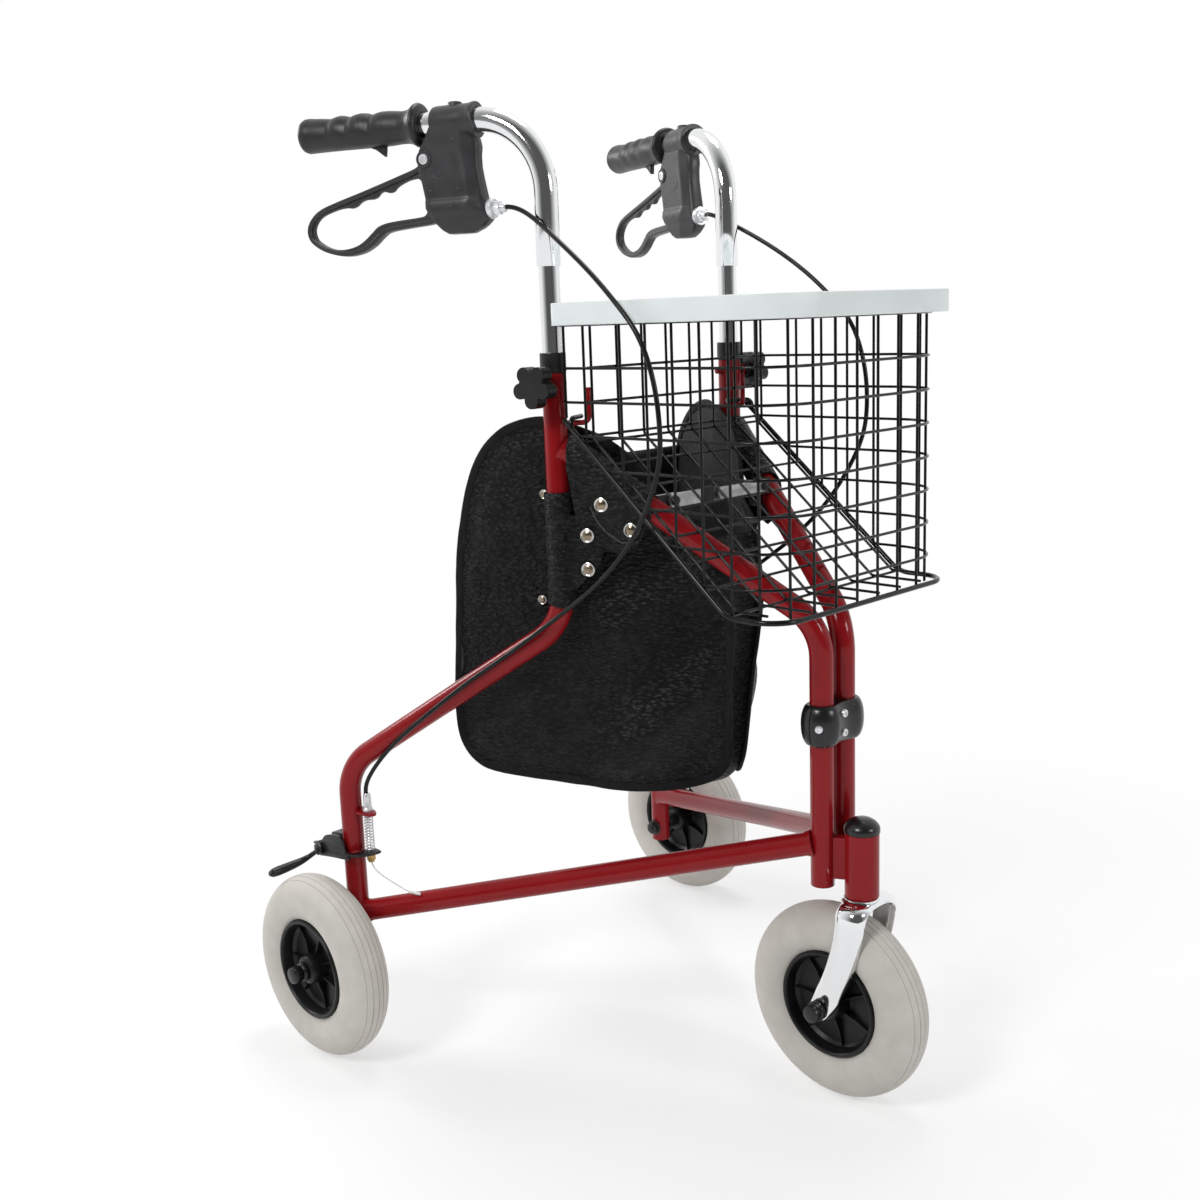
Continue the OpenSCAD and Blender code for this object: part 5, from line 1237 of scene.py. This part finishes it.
def panelPuff(back, up, reach):
    # soft fullness and broad diagonal folds, flat at the binding and where the sleeve holds the panel
    spec = panelSpec
    inside = ramp(reach, *spec["edge"])
    sleeve = 1 - ramp(abs(back - spec["heldBack"]), 0, spec["heldWide"])
    free = 1 - ramp(up, *spec["heldUp"]) * sleeve
    wave = math.cos(2 * math.pi * (up + spec["waveLean"] * back - spec["waveStart"]) / spec["waveLong"])
    ripple = noise.noise(Vector((back * 0.012, up * 0.016, 0.4)))
    small = noise.noise(Vector((back * 0.045, up * 0.05, 3.1)))
    front = ramp(back, *spec["foldBack"]) * ramp(up, *spec["foldUp"])
    folds = front * (spec["wave"] * wave + spec["fold"]) + spec["ripple"] * ripple + spec["small"] * small
    return inside * (spec["base"] + free * (spec["puff"] + folds))


edgeSteps = bagSpec["edgeSteps"]
bagEdge = smoothPath([(s, 0, z) for s, z in bagSpec["outline"]], edgeSteps, closed=True)
bagCentre = Vector((bagSpec["centre"][0], 0, bagSpec["centre"][1]))


def edgeAt(u):
    spot = u * len(bagEdge)
    index = int(spot) % len(bagEdge)
    return bagEdge[index].lerp(bagEdge[(index + 1) % len(bagEdge)], spot - int(spot))


def panelSpot(u, v):
    reach = v ** 0.75
    flat = bagCentre.lerp(edgeAt(u % 1.0), reach)
    out = panelOut(flat.x, flat.z) + panelPuff(flat.x, flat.z, reach)
    return Vector((flat.x, out, flat.z)) * mm


def bindingSpot(u, v):
    here = edgeAt(u % 1.0)
    tangent = edgeAt((u + 0.004) % 1.0) - edgeAt((u - 0.004) % 1.0)
    inward = Vector((-tangent.z, 0, tangent.x)).normalized()
    if inward.dot(bagCentre - here) < 0:
        inward = -inward
    turn = 2 * math.pi * v
    wide, thick = math.cos(turn), math.sin(turn)
    wide = math.copysign(abs(wide) ** 0.55, wide)
    thick = math.copysign(abs(thick) ** 0.7, thick)
    half = bagSpec["binding"] / 2
    flat = here + inward * (half - 1.0 + half * wide + 0.5 * noise.noise(here * 0.05))
    out = panelOut(flat.x, flat.z) - bagSpec["wall"] / 2 + bagSpec["bindingThick"] / 2 * thick
    return Vector((flat.x, out, flat.z)) * mm


gussetPath = []
gussetIndex = bagSpec["gussetStart"]
while gussetIndex != bagSpec["gussetEnd"] + 1:
    gussetPath += bagEdge[gussetIndex * edgeSteps:(gussetIndex + 1) * edgeSteps]
    gussetIndex = (gussetIndex + 1) % len(bagSpec["outline"])


def gussetSpot(u, v):
    spec = gussetSpec
    spot = u * (len(gussetPath) - 1)
    index = min(int(spot), len(gussetPath) - 2)
    flat = gussetPath[index].lerp(gussetPath[index + 1], spot - index)
    flat = flat.lerp(bagCentre, spec["inset"] / (bagCentre - flat).length)
    out = panelOut(flat.x, flat.z) - spec["behind"]
    right = framePlace @ (Vector((flat.x, out, flat.z)) * mm)
    left = sides["left"] @ right
    place = right.lerp(left, v)
    middle = math.sin(math.pi * v)
    rear = ramp(flat.x, *spec["rearBack"]) * ramp(flat.z, *spec["rearUp"])
    under = ramp(flat.z, *spec["under"])
    place.x += spec["bulge"] * rear * middle ** spec["bulgePower"]
    place.x -= spec["draw"] * (1 - rear) * (1 - under) * middle
    place.z -= spec["sag"] * under * middle
    place.x += spec["ripple"] * rear * math.sin(flat.z * 0.05 + v * 9)
    return place


def softPiece(name, shape, finish, wall):
    piece = makePiece(name, shape, finish, None, (), None, 75, outside=False)
    if wall:
        thicken(piece, wall * mm, -1).material_offset = 1
    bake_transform(piece)
    return piece


def faced(shape, towards):
    joinVerts(shape, seam)
    turnOut(shape)
    total = sum((f.normal * f.calc_area() for f in shape.faces), Vector())
    if total.dot(Vector(towards)) < 0:
        bmesh.ops.reverse_faces(shape, faces=shape.faces)
    return shape


def outerSheet(spot, across, along, place):
    # a sheet set in its place, with its front turned out
    shape = sheetFrom(spot, across, along)
    shape.transform(place)
    return faced(shape, place.to_3x3() @ Vector((0, 1, 0)))


for side, flip in sides.items():
    place = flip @ framePlace
    shape = outerSheet(panelSpot, bagSpec["around"], bagSpec["rings"], place)
    panel = softPiece(side + "BagPanel", shape, ["leather", "shadedLining"], bagSpec["wall"])
    shape = sheetFrom(bindingSpot, 2 * bagSpec["around"], 14)
    shape.transform(place)
    joinVerts(shape, seam)
    turnOut(shape)
    softPiece(side + "BagBinding", shape, "binding", 0)
shape = faced(sheetFrom(gussetSpot, 96, 40), (0, 0, -1))
gusset = softPiece("bagGusset", shape, ["leather", "shadedLining"], bagSpec["wall"])
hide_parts("bag")

flapSpec = {
    "start": 154, "end": 231, "wide": 13.3, "tall": 16.0,
    "tubeLow": 460, "tubeRise": math.tan(math.radians(34)), "over": 0.55, "overTurn": 205,
    "tabMiddle": (219, 526), "tabOut": 8.4, "lowerOut": 11.6,
    "strip": (258, 470), "stripSize": (15, 114),
    "upper": [(154, 563), (158, 560), (164, 544), (170.6, 536), (180, 535), (194, 544), (203, 554.3),
        (209, 567.6), (218.5, 586), (231, 600)],
    "lower": [(154, 556), (158, 546), (165.6, 532), (180.5, 524), (195, 527.5), (211.5, 538),
        (218.5, 548.6), (225.5, 561), (228.5, 579), (231, 600)],
    "tab": [(238, 489), (227, 490), (213.4, 503.5), (203.6, 514.6), (198.4, 529), (200, 545), (214, 556),
        (232, 560), (238, 556)],
    "snaps": [(198.6, 570, 14.6), (171, 546.8, 14.4), (213.6, 541, 13.0), (215, 508.6, 9.9)],
    "rivets": [(264, 576), (270.5, 474)],
}


def tubeUp(s):
    return flapSpec["tubeLow"] + s * flapSpec["tubeRise"]


def upperFlap(u, v):
    # over the top tube from the inside, then down its outer side to the rounded tongue
    s = flapSpec["start"] + (flapSpec["end"] - flapSpec["start"]) * u
    crease = 0.5 * noise.noise(Vector((s * 0.09, v * 6, 1.7)))
    wide = flapSpec["wide"] + crease
    over = flapSpec["over"]
    if v < over:
        turn = math.radians(flapSpec["overTurn"] * (1 - v / over))
        return Vector((s, wide * math.cos(turn), tubeUp(s) + flapSpec["tall"] * math.sin(turn))) * mm
    t = (v - over) / (1 - over)
    low = min(alongTable(flapSpec["upper"], s), tubeUp(s) - 1)
    return Vector((s, wide + 0.5 * math.sin(math.pi * t), tubeUp(s) + (low - tubeUp(s)) * t)) * mm


def lowerFlap(u, v):
    s = flapSpec["start"] + (flapSpec["end"] - flapSpec["start"]) * u
    high = tubeUp(s) - 6
    low = min(alongTable(flapSpec["lower"], s), high - 1)
    crease = 0.4 * noise.noise(Vector((s * 0.08, v * 5, 4.2)))
    return Vector((s, flapSpec["lowerOut"] + crease - 0.6 * v, high + (low - high) * v)) * mm


def tabSpot(u, v):
    # a fan of the tab's outline about its middle
    count = len(flapSpec["tab"])
    spot = (u % 1.0) * count
    index = int(spot) % count
    a, b = flapSpec["tab"][index], flapSpec["tab"][(index + 1) % count]
    t = spot - int(spot)
    edge = Vector(a).lerp(Vector(b), t)
    s, z = Vector(flapSpec["tabMiddle"]).lerp(edge, v)
    return Vector((s, flapSpec["tabOut"] + 0.3 * noise.noise(Vector((s * 0.1, z * 0.1, 2))), z)) * mm


def stripSpot(u, v):
    (back, up), (wide, tall) = flapSpec["strip"], flapSpec["stripSize"]
    s, z = back + wide * u, up + tall * v
    return Vector((s, panelOut(s, z) + 2.2, z)) * mm


snapSpec = {
    "profile": [(0, 0), (6.5, 0), (6.8, 0.5), (6.6, 1.1), (6.1, 1.35), (5.5, 1.2), (5.0, 0.9), (4.6, 1.0),
        (3.8, 1.6), (2.4, 2.1), (1.0, 2.3), (0, 2.35)],
    "middle": 0.0047, "foot": 0.0005, "rivetSize": 0.68, "rivetOut": 3.4,
}


def snapShape(scale, around):
    # a ring with a darker middle
    shape = spun([(r * scale, a) for r, a in snapSpec["profile"]], around)
    for face in shape.faces:
        centre = face.calc_center_median()
        inner = centre.xy.length < snapSpec["middle"] * scale and centre.z > snapSpec["foot"]
        face.material_index = 1 if inner else 0
    return shape


# name, shape, steps across and along, and thickness
flapParts = [("UpperFlap", upperFlap, 44, 60, 1.5), ("LowerFlap", lowerFlap, 44, 20, 1.3),
             ("SleeveTab", tabSpot, 72, 12, 1.4)]
stripPart = ("SleeveStrip", stripSpot, 8, 40, 1.4)
sleeveSpec = {"top": 0.580, "step": 0.004, "steps": 24, "bend": (0.471, 0.4845), "radius": 0.0137,
              "edge": 0.0008}
sleeveHeights = [sleeveSpec["top"] - sleeveSpec["step"] * i for i in range(sleeveSpec["steps"])]
bendLow, bendHigh = sleeveSpec["bend"]
sleevePath = [Vector((layout["receiver"], 0, z)) for z in sleeveHeights]
sleevePath += [p for p in mainPath if bendLow < p.z < bendHigh]


def sewnPiece(side, word, spot, across, along, wall):
    shape = outerSheet(spot, across, along, sides[side] @ framePlace)
    piece = makePiece(side + word, shape, "leather", side + "_frame", (), None, 75,
                      outside=False)
    thicken(piece, wall * mm, 1)


for side, flip in sides.items():
    place = flip @ framePlace
    body = side + "_frame"
    shape = strandMesh([sleevePath], sleeveSpec["radius"], 10,
                       lambda i, n: 1 + 0.022 * math.sin(i * 1.7) + 0.02 * math.sin(i * 0.6))
    bevelSharp(shape, sleeveSpec["edge"], 2, 60)
    makePiece(side + "BagSleeve", shape, "leather", body, (), place, 60)
    for row in flapParts:
        sewnPiece(side, *row)
    # a paler strand along the upper flap's edge: its raw cut edge, and a painted highlight of the fold's
    # sheen
    trim = [upperFlap(i / 60, 1) + Vector((0, 0.0008, 0)) for i in range(3, 44)]
    shape = strandMesh([trim], 0.0009, 3)
    makePiece(side + "FlapEdge", shape, "rawEdge", body, (), place, 60)
    sewnPiece(side, *stripPart)
    shape = bmesh.new()
    for s, z, out in flapSpec["snaps"]:
        joinInto(shape, snapShape(1.0, 32), moved(s * mm, out * mm, z * mm) @ outward)
    for s, z in flapSpec["rivets"]:
        out = panelOut(s, z) + snapSpec["rivetOut"]
        joinInto(shape, snapShape(snapSpec["rivetSize"], 28), moved(s * mm, out * mm, z * mm) @ outward)
    makePiece(side + "BagSnaps", shape, ["snapNickel", "snapBronze"], body, (), place, 30)
print("bag done")


# stage, light and camera

cameraSpec = {"place": (0.72924 + originX, -1.01906, 0.73852), "yaw": 0.7886, "pitch": 0.1993,
              "roll": -0.0376, "lens": 42.03, "sensor": 36}
yaw, pitchDown = cameraSpec["yaw"], cameraSpec["pitch"]
level = math.cos(pitchDown)
camBack = Vector((math.sin(yaw) * level, -math.cos(yaw) * level, math.sin(pitchDown)))
camRight = (-camBack).cross(Vector((0, 0, 1))).normalized()
camUp = camRight.cross(-camBack)
upright = Matrix((camRight, camUp, camBack)).transposed().to_4x4()
cameraData = bpy.data.cameras.new("camera")
cameraData.lens = cameraSpec["lens"]
cameraData.sensor_width = cameraSpec["sensor"]
camera = linked("camera", cameraData)
camera.matrix_world = Matrix.Translation(cameraSpec["place"]) @ upright @ rotated(cameraSpec["roll"])
bpy.context.scene.camera = camera

stageSpec = {"facing": (-0.1, 0.75), "shade": (1.0, 0.10), "room": (0.4, 0.6), "white": (1, 1, 1, 1),
             "reach": (0.35, 1.1), "glow": (0.55, 1.0), "floor": (0.94, 0.94, 0.94, 1), "floorRadius": 6,
             "aim": (0, 0, 0.45)}
world = bpy.data.worlds.new("studio")
bpy.context.scene.world = world
world.use_nodes = True
tree = world.node_tree
tree.nodes.clear()
rays = addNode(tree, "LightPath").outputs
direction = addNode(tree, "TexCoord").outputs["Generated"]
facing = addNode(tree, "VectorMath", {0: direction, 1: camBack}, operation="DOT_PRODUCT").outputs["Value"]
# shiny metal shows the white backdrop behind the object in full
strength = maths(tree, "MULTIPLY_ADD", rays["Is Glossy Ray"], *stageSpec["room"])
shade = ranged(tree, facing, stageSpec["facing"], *stageSpec["shade"])
room = addNode(tree, "Background", {"Color": shade, "Strength": strength}).outputs["Background"]
backdrop = addNode(tree, "Background", {"Color": stageSpec["white"]}).outputs["Background"]
seen = maths(tree, "MAXIMUM", rays["Is Camera Ray"], rays["Is Transmission Ray"])
choose = addNode(tree, "MixShader", {"Fac": seen, 1: room, 2: backdrop})
addNode(tree, "OutputWorld", {"Surface": choose.outputs["Shader"]})

# name, place, power and size
lampSpecs = [("key", (0.2, -2.4, 2.3), 44, 0.75), ("fill", (2.6, 0.4, 1.5), 20, 0.6),
             ("top", (-0.3, 0.6, 2.8), 22, 0.9), ("rear", (-2.2, -0.6, 1.6), 17, 0.7)]
for name, place, power, size in lampSpecs:
    data = bpy.data.lights.new(name, "AREA")
    data.energy = power
    data.size = size
    lamp = linked(name, data)
    lamp.location = place
    lamp.rotation_euler = (Vector(stageSpec["aim"]) - Vector(place)).to_track_quat("-Z", "Y").to_euler()

shape = bmesh.new()
bmesh.ops.create_circle(shape, cap_ends=True, segments=96, radius=stageSpec["floorRadius"])
mesh = bpy.data.meshes.new("floor")
shape.to_mesh(mesh)
shape.free()
floor = linked("floor", mesh)
paint = bpy.data.materials.new("floorPaint")
paint.use_nodes = True
tree = paint.node_tree
shader = tree.nodes["Principled BSDF"]
connect(tree, shader, {"Base Color": stageSpec["floor"], "Roughness": 0.9, "Specular IOR Level": 0.1})
rays = addNode(tree, "LightPath").outputs
spot = addNode(tree, "TexCoord").outputs["Object"]
reach = addNode(tree, "VectorMath", {0: spot}, operation="LENGTH").outputs["Value"]
fade = ranged(tree, reach, stageSpec["reach"], *stageSpec["glow"])
eye = maths(tree, "MAXIMUM", rays["Is Camera Ray"], rays["Is Glossy Ray"])
glow = addNode(tree, "Emission", {"Color": stageSpec["white"]}).outputs["Emission"]
part = maths(tree, "MULTIPLY", fade, eye)
mixer = addNode(tree, "MixShader", {"Fac": part, 1: shader.outputs["BSDF"], 2: glow})
connect(tree, tree.nodes["Material Output"], {"Surface": mixer.outputs["Shader"]})
mesh.materials.append(paint)
bpy.context.scene.view_settings.view_transform = "Standard"
print("stage done")
